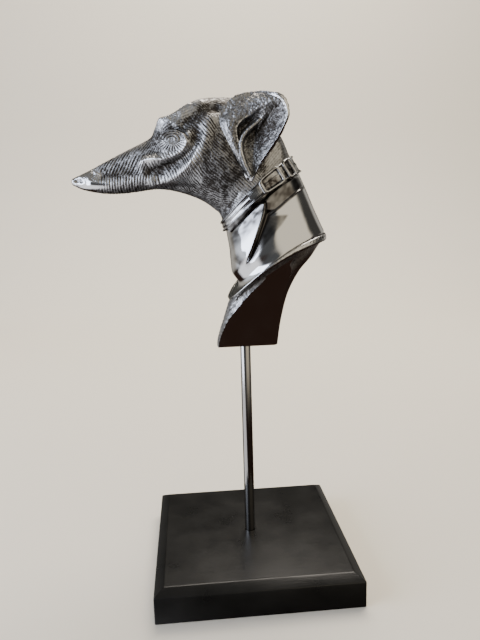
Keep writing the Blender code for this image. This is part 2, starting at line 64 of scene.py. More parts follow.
# Sections of head, neck and coat, from the nose down to the hem, as in the part's own source: a point
# of the throat line and one of the crown line, both (x, z), half width, skew, squareness and arch.
BODY_PLAN = (
    # place            throat            crown             half   skew  square arch
    ("nose front",     (-119.4, 121.6),  (-119.8, 127.0),   3.4,  0.00,  0.85,  0.0),
    ("nostril",        (-114.2, 119.0),  (-113.8, 129.6),   6.4,  0.08,  0.80,  0.0),
    ("nose back",      (-106.8, 117.0),  (-105.8, 133.2),   8.6,  0.14,  0.84,  0.0),
    ("muzzle front",   (-96.5, 115.4),   (-93.0, 139.6),   10.4,  0.18,  0.86,  0.0),
    ("muzzle middle",  (-84.5, 115.4),   (-80.0, 145.9),   12.4,  0.20,  0.86,  0.0),
    ("muzzle root",    (-74.5, 116.4),   (-69.5, 150.6),   14.8,  0.18,  0.86,  0.0),
    ("stop",           (-66.5, 117.4),   (-63.2, 154.4),   17.2,  0.14,  0.86,  0.0),
    ("brow foot",      (-60.5, 117.8),   (-59.4, 161.6),   19.6,  0.08,  0.84,  0.0),
    ("brow",           (-53.5, 117.2),   (-54.4, 166.6),   22.0,  0.04,  0.82,  0.0),
    ("eye",            (-46.0, 115.6),   (-46.5, 169.6),   23.8,  0.02,  0.84,  0.0),
    ("forehead",       (-39.0, 113.4),   (-38.0, 175.0),   25.2,  0.02,  0.86,  0.0),
    ("skull",          (-32.0, 110.6),   (-26.5, 179.4),   26.6,  0.02,  0.88,  0.0),
    ("temple",         (-25.6, 107.0),   (-7.0, 180.0),    27.4,  0.00,  0.90,  0.0),
    ("cheek",          (-20.0, 102.6),   (8.0, 176.4),     27.2, -0.02,  0.92,  0.0),
    ("occiput",        (-17.0, 100.2),   (21.5, 165.6),    26.2, -0.04,  0.94,  1.0),
    ("nape",           (-15.2, 96.8),    (30.4, 151.4),    25.0, -0.04,  0.96,  2.5),
    ("collar top",     (-14.2, 93.0),    (36.0, 138.6),    24.6, -0.02,  0.96,  4.0),
    ("collar bottom",  (-12.4, 86.6),    (42.8, 127.0),    25.6,  0.00,  0.96,  4.5),
    ("coat top",       (-11.6, 81.6),    (48.4, 114.6),    27.2,  0.02,  0.96,  5.0),
    ("coat upper",     (-10.4, 73.6),    (53.8, 101.6),    29.2,  0.04,  0.94,  5.5),
    ("coat middle",    (-9.8, 64.6),     (58.4, 91.4),     30.6,  0.05,  0.94,  6.5),
    ("coat lower",     (-8.8, 55.6),     (61.0, 85.8),     31.4,  0.05,  0.92,  7.5),
    ("waist",          (-4.6, 48.4),     (61.8, 83.4),     31.8,  0.04,  0.90,  8.0),
    ("hem flare",      (-6.0, 42.4),     (62.3, 82.0),     32.4,  0.03,  0.88,  8.0),
    ("hem",            (-12.2, 36.6),    (62.6, 80.2),     33.0,  0.02,  0.88,  8.0),
)

# The foot under the hem, in the same terms, down to the cut where the rod enters.
FOOT_PLAN = (
    ("under the hem",  (-9.8, 36.4),     (59.2, 78.4),     30.2,  0.02,  0.88,  8.0),
    ("upper chest",    (-12.4, 29.8),    (49.4, 67.2),     22.3, -0.31,  0.42,  7.0),
    ("middle chest",   (-14.6, 23.0),    (40.0, 56.4),     21.2, -0.27,  0.36,  5.0),
    ("lower chest",    (-17.0, 15.4),    (32.2, 40.4),     21.7, -0.04,  0.41,  3.0),
    ("near the cut",   (-19.6, 7.6),     (27.2, 20.2),     19.3,  0.22,  0.36,  1.0),
    ("cut",            (-21.6, 0.0),     (24.6, 0.0),      13.8,  0.20,  0.50,  0.0),
)

NOSE_CAP_DEPTH = 1.7
HEM_LIP = ((0.997, 0.5, 0.2), (0.99, 0.9, 0.4), (0.975, 1.2, 0.6), (0.95, 1.3, 0.7))

# The two polished flats that thin the foot to a wedge, as in the part's own source.
FLAT_HALF_THICKNESS = 8.0
FLAT_SLOPE = 0.26
FLAT_REACH = (
    (-60.0, -4.0), (66.0, -4.0), (66.0, 68.0), (44.0, 69.0), (33.0, 66.4), (26.0, 62.2),
    (12.0, 52.6), (0.0, 43.6), (-6.0, 38.6), (-12.0, 33.0), (-20.0, 26.0), (-60.0, 20.0),
)
FLAT_CUT_DEPTH = 60.0

# Carving on the sides of the head, as strokes seen from the side: the line (x, z) that each follows,
# its reach to either side and its height, which is below 0 for a hollow. These are the part's own.
HEAD_STROKES = (
    ("lip",               ((-106.0, 122.0), (-92.0, 121.6), (-76.0, 123.0), (-64.0, 125.2)),     3.8,  1.5),
    ("muzzle hollow",     ((-98.0, 129.6), (-86.0, 131.2), (-75.0, 132.6)),                      4.0, -1.6),
    ("nasal bone",        ((-100.0, 134.8), (-86.0, 140.0), (-72.0, 145.4)),                     3.6,  0.8),
    ("cheekbone",         ((-71.0, 134.0), (-66.0, 137.0), (-57.0, 137.6), (-49.0, 138.8),
                           (-42.6, 141.6), (-38.4, 146.4), (-37.6, 152.0)),                      3.0,  2.5),
    ("cheek furrow",      ((-64.0, 128.8), (-56.0, 130.6), (-46.0, 134.6), (-38.0, 139.4),
                           (-32.4, 146.0), (-30.2, 153.0)),                                      3.8, -2.5),
    ("jaw",               ((-62.0, 121.6), (-53.0, 123.4), (-45.4, 126.4), (-38.2, 132.0),
                           (-33.0, 139.0), (-28.0, 147.6), (-25.0, 156.0), (-22.0, 164.0)),      4.8,  2.4),
    ("under the jaw",     ((-56.0, 118.0), (-44.0, 117.4), (-34.0, 116.4)),                      3.2, -1.8),
    ("eye socket front",  ((-57.4, 156.0), (-60.0, 149.5), (-59.6, 143.0)),                      3.2, -1.6),
    ("eyelid crease",     ((-55.0, 157.4), (-48.5, 158.4), (-42.0, 156.6)),                      2.6, -2.0),
    ("brow ridge",        ((-56.6, 163.4), (-51.0, 163.2), (-44.0, 166.4), (-36.0, 171.4),
                           (-28.0, 174.4)),                                                      3.6,  2.3),
    ("temple hollow",     ((-40.0, 160.6), (-34.0, 165.0), (-26.0, 168.6), (-18.0, 170.2)),      4.0, -2.6),
    ("eyeball",           ((-52.0, 149.4), (-45.6, 150.4)),                                      4.8,  1.9),
    ("masseter",          ((-18.0, 142.0), (-13.0, 130.0)),                                     13.0,  1.6),
    ("nostril",           ((-117.4, 125.0), (-115.6, 125.8)),                                    1.3, -1.0),
)

# Finer carving, too small for the part's own faces.
FINE_STROKES = (
    ("upper lid",         ((-56.4, 153.4), (-52.0, 156.0), (-46.0, 156.2), (-41.4, 153.4),
                           (-38.8, 149.0)),                                                      0.9,  0.7),
    ("lid crease",        ((-57.4, 155.6), (-50.4, 158.4), (-44.6, 157.8), (-39.6, 154.4),
                           (-36.8, 149.6)),                                                      0.8, -0.9),
    ("lower lid",         ((-55.0, 149.4), (-51.4, 146.8), (-46.0, 145.8), (-41.0, 147.4)),      0.8,  0.3),
    ("tear line",         ((-60.6, 149.0), (-57.0, 150.6), (-54.4, 150.4)),                      0.7, -0.7),
    ("mouth corner",      ((-74.6, 118.0), (-68.0, 118.6), (-61.0, 119.6)),                      0.9, -1.5),
    ("mouth end",         ((-62.4, 119.4), (-60.0, 120.4)),                                      1.2, -1.0),
    ("nose crease",       ((-106.2, 133.6), (-104.8, 129.6), (-106.0, 126.0)),                   0.9, -0.4),
    ("nostril comma",     ((-117.8, 124.2), (-116.2, 125.4), (-114.2, 125.2), (-113.2, 124.0)),  0.7, -1.1),
    ("nose wing",         ((-116.0, 122.8), (-113.0, 122.2), (-110.6, 123.4)),                   1.0,  0.4),
    ("cheekbone edge",    ((-69.0, 135.8), (-62.0, 137.6), (-54.0, 137.2), (-46.0, 139.0),
                           (-40.6, 142.4), (-37.6, 148.0)),                                      1.1,  0.6),
    ("furrow bottom",     ((-62.0, 130.6), (-54.0, 132.4), (-46.0, 136.0), (-38.0, 141.0)),      1.6, -0.3),
    ("jaw crest",         ((-58.0, 123.0), (-48.0, 126.0), (-40.0, 131.0), (-34.4, 138.0),
                           (-29.6, 146.6)),                                                      1.2,  0.5),
    ("brow crest",        ((-55.0, 163.8), (-50.0, 164.2), (-43.0, 167.4), (-35.0, 172.2)),      1.3,  0.6),
    ("throat fold",       ((-14.0, 100.0), (-8.6, 106.0), (-4.0, 113.0)),                        1.0, -0.5),
)

# Engraved hair, in patches seen from the side: middle (x, z), reach along x and z, lean of the strokes in degrees, gap
# between rows, length of a stroke, depth, and how dark it is: the patina, with painted shade added where it is darkest
# (jowl, nape, skull, temple) and painted highlight where it is lightest (nose, brow, cheekbone, neck).
# The gap on the real casting is 1.5 to 1.8 mm, counted over ten rows; here it is a little wider, so
# that the rows show.
HAIR_PATCHES = (
    # place             middle            reach          lean   gap  length depth  dark
    ("nose",            (-112.0, 125.0),  (10.0, 9.0),    60.0, 1.8,  6.0,  0.00,  0.14),
    ("upper muzzle",    (-82.0, 138.0),   (17.0, 9.0),    60.0, 2.05, 18.0, 0.50,  0.42),
    ("lip",             (-84.0, 121.0),   (22.0, 6.0),    88.0, 2.0,  11.0, 0.52,  0.42),
    ("stop",            (-64.0, 147.0),   (9.0, 8.0),     58.0, 1.8,  14.0, 0.40,  0.52),
    ("forelock",        (-52.0, 165.0),   (10.0, 6.0),    20.0, 1.8,  10.0, 0.18,  0.40),
    ("brow",            (-38.0, 170.0),   (9.0, 5.0),     25.0, 1.8,  10.0, 0.25,  0.12),
    ("cheekbone",       (-58.0, 137.0),   (15.0, 5.0),   112.0, 1.9,  8.0,  0.34,  0.14),
    ("furrow",          (-48.0, 131.0),   (16.0, 6.0),   116.0, 1.9,  12.0, 0.38,  0.60),
    ("jaw",             (-38.0, 132.0),   (10.0, 14.0),  122.0, 1.9,  14.0, 0.42,  0.22),
    ("jaw end",         (-60.0, 121.0),   (9.0, 6.0),    100.0, 1.9,  9.0,  0.44,  0.34),
    ("temple",          (-28.0, 158.0),   (10.0, 12.0),  130.0, 1.9,  18.0, 0.42,  0.66),
    ("jowl",            (-14.0, 134.0),   (14.0, 20.0),  134.0, 1.8,  16.0, 0.32,  0.86),
    ("skull",           (-20.0, 176.0),   (20.0, 9.0),   150.0, 1.7,  9.0,  0.26,  0.66),
    ("ear root",        (-9.0, 164.0),    (10.0, 17.0),  120.0, 1.6,  3.0,  0.10,  0.60),
    ("throat",          (-26.0, 108.0),   (26.0, 9.0),   150.0, 1.8,  9.0,  0.32,  0.54),
    ("neck",            (4.0, 112.0),     (16.0, 12.0),  118.0, 1.8,  14.0, 0.36,  0.16),
    ("nape",            (26.0, 142.0),    (15.0, 22.0),   60.0, 1.6,  6.0,  0.20,  0.80),
)
EYE_MIDDLE = (-48.2, 149.6)
EYE_HAIR_REACH = 9.0
EYE_HAIR_GAP = 1.8
EYE_HAIR_DEPTH = 0.36
EYE_STRETCH = 1.25
EYE_SPOKES = 26.0
STIPPLE_SIZE = 1.15
STIPPLE_DEPTH = 0.3

# Two edges on the coat, seen from the side, as in the part's own source: the crest of the lapel, from
# its rounded end down, and the neckline.
COAT_FOLD = ((14.6, 107.0), (14.0, 98.6), (9.6, 86.6), (4.6, 73.0), (-1.6, 60.6))
COAT_FOLD_HEIGHT = 3.0
COAT_FOLD_BLUNTNESS = 0.6
COAT_VALLEY_WIDTH = 15.0
COAT_VALLEY_SLOPE = 0.15
COAT_NECKLINE = (
    (62.0, 124.0), (45.0, 116.4), (37.6, 112.0), (30.2, 107.2), (24.0, 102.4), (18.6, 99.0), (13.0, 96.6)
)
COAT_NECKLINE_HEIGHT = 0.9
COAT_UNDER_COLLAR = 1.6

# Painted shade and painted dark reflection on the polished coat: how far the painted shade spreads under the collar,
# and a painted dark reflection behind the crest, which is widest at its top and runs out to a point at its foot.
COAT_COLLAR_PAINTED_SHADE_REACH = 15.0
COAT_PATCH_WIDTH = 16.0
COAT_PATCH_TOP = 97.0
COAT_PATCH_FOOT = 64.0

# The band along the hem: its width, how far it stands out, and the size of its punched marks.
HEM_BAND_WIDTH = 3.6
HEM_BAND_RISE = 0.5
HEM_MARK_GAP = 1.9

# The left ear, seen from the side and seated at its hollow, as in the part's own source.
EAR_OUTLINE = (
    # place            rim              side   lip    side  fall
    ("tip",            (4.6, 122.0),    24.8,  0.94,  25.6,  1.6),
    ("low back",       (10.6, 132.2),   29.4,  0.97,  29.8,  1.3),
    ("middle back",    (17.6, 142.0),   33.6,  0.97,  34.0,  1.3),
    ("high back",      (24.6, 152.8),   36.8,  0.97,  37.2,  1.3),
    ("back shoulder",  (28.8, 163.6),   38.4,  0.97,  38.8,  1.3),
    ("top back",       (25.4, 173.6),   37.4,  0.93,  37.6,  1.3),
    ("top",            (15.0, 178.8),   32.6,  0.66,  33.6,  1.5),
    ("top front",      (2.4, 179.4),    17.0,  0.48,  31.0,  8.0),
    ("front shoulder", (-8.4, 174.6),   12.0,  0.46,  30.4,  12.0),
    ("front",          (-15.6, 162.0),  24.0,  0.52,  30.4,  12.0),
    ("front middle",   (-12.4, 147.4),  25.0,  0.58,  29.4,  9.0),
    ("front low",      (-5.0, 134.0),   24.6,  0.70,  27.6,  5.0),
)
EAR_HOLLOW = (8.0, 150.0)
EAR_FLOOR_SIDE = 24.6
EAR_ROOT_SIDE = 8.0
EAR_RIM_ROLL = 1.5
EAR_RIM_THICKNESS = 2.6
EAR_BEAD_HEIGHT = 0.7
EAR_FOLD = (
    (16.6, 164.8), (12.0, 161.4), (6.0, 156.8), (1.0, 152.4), (-1.8, 147.0), (-1.8, 140.0), (0.4, 132.0), (3.6, 125.4)
)
EAR_FOLD_SIDE = 30.4
EAR_FOLD_REACH = 1.9
EAR_MERGE = 20.0
EAR_EDGE_SINKS = 1.8
EAR_RIM_ANGLES = (20, 45, 70, 90, 115, 140, 162, 180)
EAR_BACK_RINGS = 8
EAR_BACK_NARROWS = 0.48

# The skull lies back under the ear, so that the ear's own floor shows: behind this line (x, z), and
# as far from the ear's hollow as SKULL_HOLLOW_REACH.
EAR_FRONT = ((-2.0, 128.0), (-8.0, 138.0), (-11.0, 150.0), (-10.5, 160.0), (-6.0, 169.0), (2.0, 176.0))
SKULL_HOLLOW_REACH = 22.0
SKULL_UNDER_EAR = 4.0

# Collar, in its own terms: turns round the neck from the crown over the left side to the throat
# (0.5), share of the strap's width from its top edge (0) to its bottom edge (1), and height.
STRAP_PROFILE = (
    (0.00, -2.0), (0.00, 1.5), (0.02, 1.95), (0.055, 2.1), (0.09, 1.95), (0.13, 1.35), (0.18, 1.05),
    (0.38, 1.05), (0.45, 1.35), (0.50, 1.5), (0.55, 1.35), (0.62, 1.05), (0.82, 1.05),
    (0.87, 1.35), (0.91, 1.95), (0.945, 2.1), (0.98, 1.95), (1.00, 1.5), (1.00, -2.0),
)
STRAP_HEIGHT = 1.1
BUCKLE_TURNS = (0.152, 0.244)
KEEPER_TURNS = (0.088, 0.138)
TONGUE_TURNS = (0.236, 0.292)
FRAME_FOOT = -0.8
FRAME_RISE = 1.9
FRAME_HALF_BAR = 1.0
FRAME_CORNER = 0.36

# Millimetres of one turn round the neck, and of the strap's width, at the buckle.
TURN_LENGTH = 150.0
STRAP_WIDTH = 12.0

# Painted shade on the strap under the buckle and under the keeper: middle (x, z), reach, how dark.
STRAP_PAINTED_SHADE = (((17.5, 115.5), 9.0, 0.7), ((33.0, 127.0), 6.0, 0.7))

# The head's bare nose, its polished lower patch and the smooth nape, seen from the side.
NOSE_SMOOTH_FROM = -100.0
NOSE_SMOOTH_TO = -108.0
NOSE_PATCH = (-104.0, 120.6)
NOSE_PATCH_REACH = (10.0, 3.0)

# The rod's seats in the block and in the foot, in metres.
ROD_CLEARANCE = 0.0003
FOOT_HOLE_DEPTH = 0.03
HOLE_OVERRUN = 0.01

MUZZLE_AROUND = 300
HEAD_AROUND = 600
MUZZLE_GAP = 0.34
HEAD_GAP = 0.41
COAT_AROUND = 300
COAT_GAP = 0.42
FOOT_AROUND = 220
FOOT_RINGS = 90
EAR_AROUND = 340
EAR_RINGS = 112
STRAP_AROUND = 256

# The room that the polished metal reflects: the direction that each zone lies in, the cosine where it
# starts and where it is full, and its colour.
ROOM_TONE = (0.52, 0.49, 0.44, 1)
ROOM_SEEN = (0.80, 0.76, 0.69, 1)
ROOM_ZONES = (
    ((0.0, 0.88, 0.47), 0.72, 0.88, (0.07, 0.067, 0.06, 1)),
    ((-0.96, -0.26, 0.0), 0.45, 0.85, (1.02, 1.08, 1.2, 1)),
    ((-0.88, -0.47, 0.0), 0.972, 0.99, (0.32, 0.33, 0.37, 1)),
    ((0.0, 0.0, 1.0), 0.35, 0.75, (0.20, 0.19, 0.17, 1)),
    ((-0.37, -0.92, 0.10), 0.86, 0.95, (0.09, 0.092, 0.095, 1)),
    ((0.60, -0.72, 0.34), 0.72, 0.86, (1.05, 0.94, 0.75, 1)),
    ((0.98, 0.14, 0.17), 0.88, 0.96, (0.06, 0.057, 0.052, 1)),
    ((0.0, 0.0, -1.0), 0.10, 0.34, (0.026, 0.014, 0.010, 1)),
    ((-0.76, -0.22, -0.61), 0.70, 0.88, (1.5, 1.5, 1.58, 1)),
)

# Lamps: name, place, what each is aimed at, size, watts and colour.
LAMPS = (
    ("window_light", (-1.25, -0.42, 0.5), (0.0, 0.0, 0.26), (1.1, 1.3), 27.0, "#DCE7FF"),
    ("ceiling_light", (0.3, 0.8, 1.7), (0.0, 0.6, 0.2), (1.4, 1.0), 44.0, "#FFF6EA"),
)

# The sweep: the radius of its bend, where it starts in front, its whole length and half its width.
SWEEP_RADIUS = 0.5
SWEEP_FRONT = -4.4
SWEEP_LENGTH = 8.8
SWEEP_HALF_WIDTH = 3.4

# The camera, as fitted to the block's corners: place, then yaw, pitch and roll in degrees, and its
# focal length in pixels of a picture 640 high.
CAMERA_PLACE = (-0.0401, -0.4379, 0.2818)
CAMERA_TURN = (4.77, 10.8, -1.62)
CAMERA_FOCAL = 585.5
PICTURE_HEIGHT = 640
SENSOR = 36.0


def colour(code):
    """Linear RGBA of an sRGB hex code."""
    parts = [int(code[at : at + 2], 16) / 255 for at in (1, 3, 5)]
    return (*[part / 12.92 if part <= 0.04045 else ((part + 0.055) / 1.055) ** 2.4 for part in parts], 1.0)


class CastingSettings(bpy.types.PropertyGroup):
    figure_unit: bpy.props.FloatProperty(
        name="Figure unit",
        description="Real length of one millimetre of the figure",
        default=0.001,
        min=0.0002,
        max=0.01,
        precision=5,
        unit="LENGTH",
    )
    hair_depth: bpy.props.FloatProperty(
        name="Hair depth",
        description="Depth of the engraved hair, as a share of the depth on the real casting",
        default=1.0,
        min=0.0,
        max=2.0,
        subtype="FACTOR",
    )
    metal: bpy.props.FloatVectorProperty(
        name="Metal", description="Colour of the bare aluminium", default=colour("#D6D6D5"), size=4, subtype="COLOR"
    )
    # The same colour is taken by the painted shade and the painted dark reflections.
    patina: bpy.props.FloatVectorProperty(
        name="Patina",
        description="Colour of the dark wax that is left in the hollows",
        default=colour("#3A3632"),
        size=4,
        subtype="COLOR",
    )


class StandSettings(bpy.types.PropertyGroup):
    chamfer_inset: bpy.props.FloatProperty(
        name="Chamfer inset",
        description="How far the chamfer goes in over the block's top",
        default=0.007,
        unit="LENGTH",
    )
    chamfer_drop: bpy.props.FloatProperty(
        name="Chamfer drop",
        description="How far the chamfer goes down the block's sides",
        default=0.004,
        unit="LENGTH",
    )
    edge_rounding: bpy.props.FloatProperty(
        name="Edge rounding", description="Radius of the block's sanded edges", default=0.0007, unit="LENGTH"
    )
    rod_end_bevel: bpy.props.FloatProperty(
        name="Rod end bevel", description="Bevel at the rod's two ends", default=0.0006, unit="LENGTH"
    )
    lacquer: bpy.props.FloatVectorProperty(
        name="Lacquer", description="Colour of the lacquered wood", default=colour("#0E0E0D"), size=4, subtype="COLOR"
    )
    steel: bpy.props.FloatVectorProperty(
        name="Steel", description="Colour of the rod", default=colour("#A3A09C"), size=4, subtype="COLOR"
    )


class StageSettings(bpy.types.PropertyGroup):
    paper: bpy.props.FloatVectorProperty(
        name="Paper",
        description="Colour of the floor and of the sweep behind",
        default=colour("#E3DDCF"),
        size=4,
        subtype="COLOR",
    )
    sweep_distance: bpy.props.FloatProperty(
        name="Sweep distance", description="How far behind the object the floor turns up", default=0.95, unit="LENGTH"
    )


def spline(values, at, closed=False):
    """A smooth curve through the rows of values, read at at, where row k lies at k."""
    rows = np.asarray(values, float)
    count = len(rows)
    at = np.asarray(at, float)
    start = np.floor(at).astype(int) if closed else np.clip(np.floor(at).astype(int), 0, count - 2)
    share = (at - start)[..., None]
    before, here, after, beyond = [
        rows[(start + step) % count] if closed else rows[np.clip(start + step, 0, count - 1)]
        for step in (-1, 0, 1, 2)
    ]
    return 0.5 * (
        2 * here
        + (after - before) * share
        + (2 * before - 5 * here + 4 * after - beyond) * share**2
        + (3 * here - before - 3 * after + beyond) * share**3
    )


def smooth_step(low, high, value):
    share = np.clip((value - low) / (high - low), 0.0, 1.0)
    return share * share * (3 - 2 * share)


def distance_to_line(points, line):
    """Distance of each (x, z) point from a smooth line, above 0 on its right-hand side, and how far along."""
    finer = spline(line, np.linspace(0, len(line) - 1, 5 * len(line)))
    best = np.full(points.shape[:-1], np.inf)
    side = np.ones(best.shape)
    along = np.zeros(best.shape)
    for number, (start, end) in enumerate(zip(finer[:-1], finer[1:])):
        step = end - start
        offset = points - start
        share = np.clip(offset @ step / (step @ step), 0.0, 1.0)
        apart = np.hypot(offset[..., 0] - share * step[0], offset[..., 1] - share * step[1])
        nearer = apart < best
        turn = offset[..., 0] * step[1] - offset[..., 1] * step[0]
        best = np.where(nearer, apart, best)
        side = np.where(nearer, np.sign(turn), side)
        along = np.where(nearer, (number + share) / (len(finer) - 1), along)
    return best * side, along


def scatter(*numbers):
    """A fixed number from 0 to 1 for each set of whole numbers, with no pattern to the eye."""
    mixed = sum(number * weight for number, weight in zip(numbers, (12.9898, 78.233, 37.719)))
    value = np.sin(mixed) * 43758.5453
    return value - np.floor(value)


def lumps(points, size, seed):
    """Smooth noise from -1 to 1 at the points, with lumps of the given size."""
    cell = points / size
    base = np.floor(cell).astype(np.int64)
    share = cell - base
    share = share * share * (3 - 2 * share)
    total = np.zeros(points.shape[:-1])
    for corner in range(8):
        step = (corner & 1, corner >> 1 & 1, corner >> 2 & 1)
        mixed = seed * 374761393
        for axis, prime in enumerate((73856093, 19349663, 83492791)):
            mixed = mixed ^ ((base[..., axis] + step[axis]) * prime)
        mixed = ((mixed ^ (mixed >> 13)) * 1274126177) & 0xFFFFFFFF
        value = ((mixed ^ (mixed >> 15)) & 0xFFFF) / 32767.5 - 1
        weight = 1.0
        for axis in range(3):
            weight = weight * (share[..., axis] if step[axis] else 1 - share[..., axis])
        total += value * weight
    return total


def plan_rows(plan):
    return np.array([[*throat, *crown, *rest] for _, throat, crown, *rest in plan])


def place_in(plan, name):
    return [row[0] for row in plan].index(name)


def section_points(plan, station, turns):
    """Points of the sections at the stations, at turns from the crown over the left side."""
    throat_x, throat_z, crown_x, crown_z, half, skew, square, arch = np.moveaxis(
        spline(plan_rows(plan), station), -1, 0
    )
    lengthwise = np.cos(2 * math.pi * turns)
    sideways = np.sin(2 * math.pi * turns)
    reach = (lengthwise + 1) / 2
    width = np.sign(sideways) * np.abs(sideways) ** square * half * (1 - skew * lengthwise)
    span_x, span_z = crown_x - throat_x, crown_z - throat_z
    span = np.maximum(np.hypot(span_x, span_z), 1e-6)
    lift = arch * sideways**2
    return np.stack(
        [
            throat_x + reach * span_x - lift * span_z / span,
            -width,
            throat_z + reach * span_z + lift * span_x / span,
        ],
        axis=-1,
    )


def body_rings(stations, around):
    """Rings of head, neck and coat, and how far round to the side each point lies, from 0 to 1."""
    turns = np.arange(around) / around
    grid = section_points(BODY_PLAN, stations[:, None], turns[None, :])
    side_share = np.abs(np.sin(2 * math.pi * turns))[None, :] * np.ones((len(stations), 1))
    return grid, side_share


def even_stations(plan, first, last, gap):
    """Stations from first to last that lie a gap apart along the middle of the plan."""
    fine = np.linspace(first, last, 2400)
    rows = spline(plan_rows(plan), fine)
    middle = (rows[:, 0:2] + rows[:, 2:4]) / 2
    crown = rows[:, 2:4]
    gaps = 0.5 * sum(np.linalg.norm(np.diff(line, axis=0), axis=1) for line in (middle, crown))
    walked = np.concatenate([[0.0], np.cumsum(gaps + 1e-6)])
    count = max(4, round(walked[-1] / gap))
    return np.interp(np.linspace(0, walked[-1], count), walked, fine)


def outward_normals(grid):
    """Normals of a grid of rings, each of which closes on itself."""
    across = np.roll(grid, -1, axis=1) - np.roll(grid, 1, axis=1)
    down = np.gradient(grid, axis=0)
    normal = np.cross(across, down)
    return normal / np.maximum(np.linalg.norm(normal, axis=-1, keepdims=True), 1e-9)


def stroke_height(seen, strokes):
    """How far the strokes raise the surface at each (x, z) point."""
    height = np.zeros(seen.shape[:-1])
    for _, line, reach, rise in strokes:
        corners = np.array(line)
        low, high = corners.min(axis=0) - 3 * reach, corners.max(axis=0) + 3 * reach
        near = np.all((seen > low) & (seen < high), axis=-1)
        if near.any():
            apart, _ = distance_to_line(seen[near], line)
            height[near] += rise * np.exp(-((apart / reach) ** 2))
    return height


def coat_height(seen, side_share, from_collar):
    """Height of the coat's lapel, of the valley behind it and of its neckline, and how dark it is painted: painted
    shade in the valley and under the collar, painted dark reflection along the neckline and behind the crest.
    """
    apart, along = distance_to_line(seen, COAT_FOLD)
    fades = smooth_step(0.0, 0.06, along) * (1 - smooth_step(0.8, 1.0, along))
    roll = COAT_FOLD_HEIGHT * np.exp(-np.abs(apart) / 9.0)
    roll = roll + 0.1 * np.cos(apart / 1.5) * np.exp(-((apart - 6.0) / 5.0) ** 2)
    width = 2.0 + COAT_VALLEY_WIDTH * np.clip(1 - along, 0, 1)
    valley = -COAT_VALLEY_SLOPE * np.logaddexp(0, (width + apart) / 0.8) * 0.8
    valley = valley * smooth_step(102.5, 97.5, seen[..., 1])
    front = 0.5 + 0.5 * np.tanh(apart / COAT_FOLD_BLUNTNESS)
    coat = smooth_step(COAT_FOLD[0][1] + 3.0, COAT_FOLD[0][1] - 1.0, seen[..., 1])
    height = (roll * front + valley * (1 - front)) * fades * coat
    in_valley = 0.9 * np.exp(-(((apart + 1.0) / 1.4) ** 2)) * fades * coat
    width = COAT_PATCH_WIDTH * np.clip(
        (seen[..., 1] - COAT_PATCH_FOOT) / (COAT_PATCH_TOP - COAT_PATCH_FOOT), 0, 1
    )
    patch = smooth_step(-0.3, 0.6, -apart) * (1 - smooth_step(width - 1.5, width + 1.0, -apart))
    patch = patch * smooth_step(COAT_PATCH_TOP + 1.5, COAT_PATCH_TOP - 0.5, seen[..., 1]) * fades
    apart, _ = distance_to_line(seen, COAT_NECKLINE)
    behind_fold = smooth_step(14.0, 18.0, seen[..., 0])
    in_band = behind_fold * (seen[..., 1] < 124.0)
    neck = smooth_step(-0.4, 1.6, apart) * (1 - smooth_step(9.0, 12.0, apart)) * in_band
    height -= COAT_NECKLINE_HEIGHT * neck
    under_collar = np.exp(-((from_collar / 3.2) ** 2)) * (1 - neck)
    height -= COAT_UNDER_COLLAR * under_collar
    streaks = 0.5 + 0.5 * lumps(np.stack([seen[..., 0], seen[..., 1], seen[..., 0] - seen[..., 1]], -1), 3.2, 51)
    # Painted dark reflection along the neckline band and painted shade in the valley behind the crest, streaked at
    # random.
    patina_and_painted_shade = smooth_step(-1.3, -0.3, apart) * in_band * (0.7 + 0.3 * streaks) + in_valley
    # Painted shade under the collar and painted dark reflection behind the crest.
    by_collar = np.exp(-((from_collar / COAT_COLLAR_PAINTED_SHADE_REACH) ** 6)) * (1 - behind_fold)
    patina_and_painted_shade += by_collar * (0.5 + 0.6 * streaks) + patch * (0.6 + 0.25 * streaks)
    share = smooth_step(0.15, 0.5, side_share)
    return height * share, np.clip(patina_and_painted_shade, 0, 0.96) * share


def arc_heights(grid):
    """Like z, but measured along each ring from its crown, so that a pattern doesn't stretch on the crown."""
    steps = np.linalg.norm(np.diff(grid, axis=1, append=grid[:, :1]), axis=-1)
    walked = np.concatenate([np.zeros((len(grid), 1)), np.cumsum(steps, axis=1)[:, :-1]], axis=1)
    shorter = np.minimum(walked, steps.sum(axis=1, keepdims=True) - walked)
    return grid[:, :1, 2] - shorter


def eye_rows(x, z, bend):
    """Whether each point lies by the eye, whether above it, and its hair there: arcs above, spokes below."""
    away_x, away_z = (x - EYE_MIDDLE[0]) / EYE_STRETCH, z - EYE_MIDDLE[1]
    reach = np.hypot(away_x, away_z)
    round_eye = 1 - smooth_step(EYE_HAIR_REACH - 3.0, EYE_HAIR_REACH, reach)
    above = smooth_step(-1.5, 1.5, away_z)
    arcs = np.exp(-(((reach / EYE_HAIR_GAP + 0.3 * bend) % 1.0 - 0.5) / 0.25) ** 2)
    turn = np.arctan2(away_z, away_x) / (2 * math.pi) * EYE_SPOKES
    spokes = np.exp(-((turn % 1.0 - 0.5) / 0.25) ** 2) * smooth_step(2.5, 4.0, reach)
    return round_eye, above, above * arcs + (1 - above) * spokes


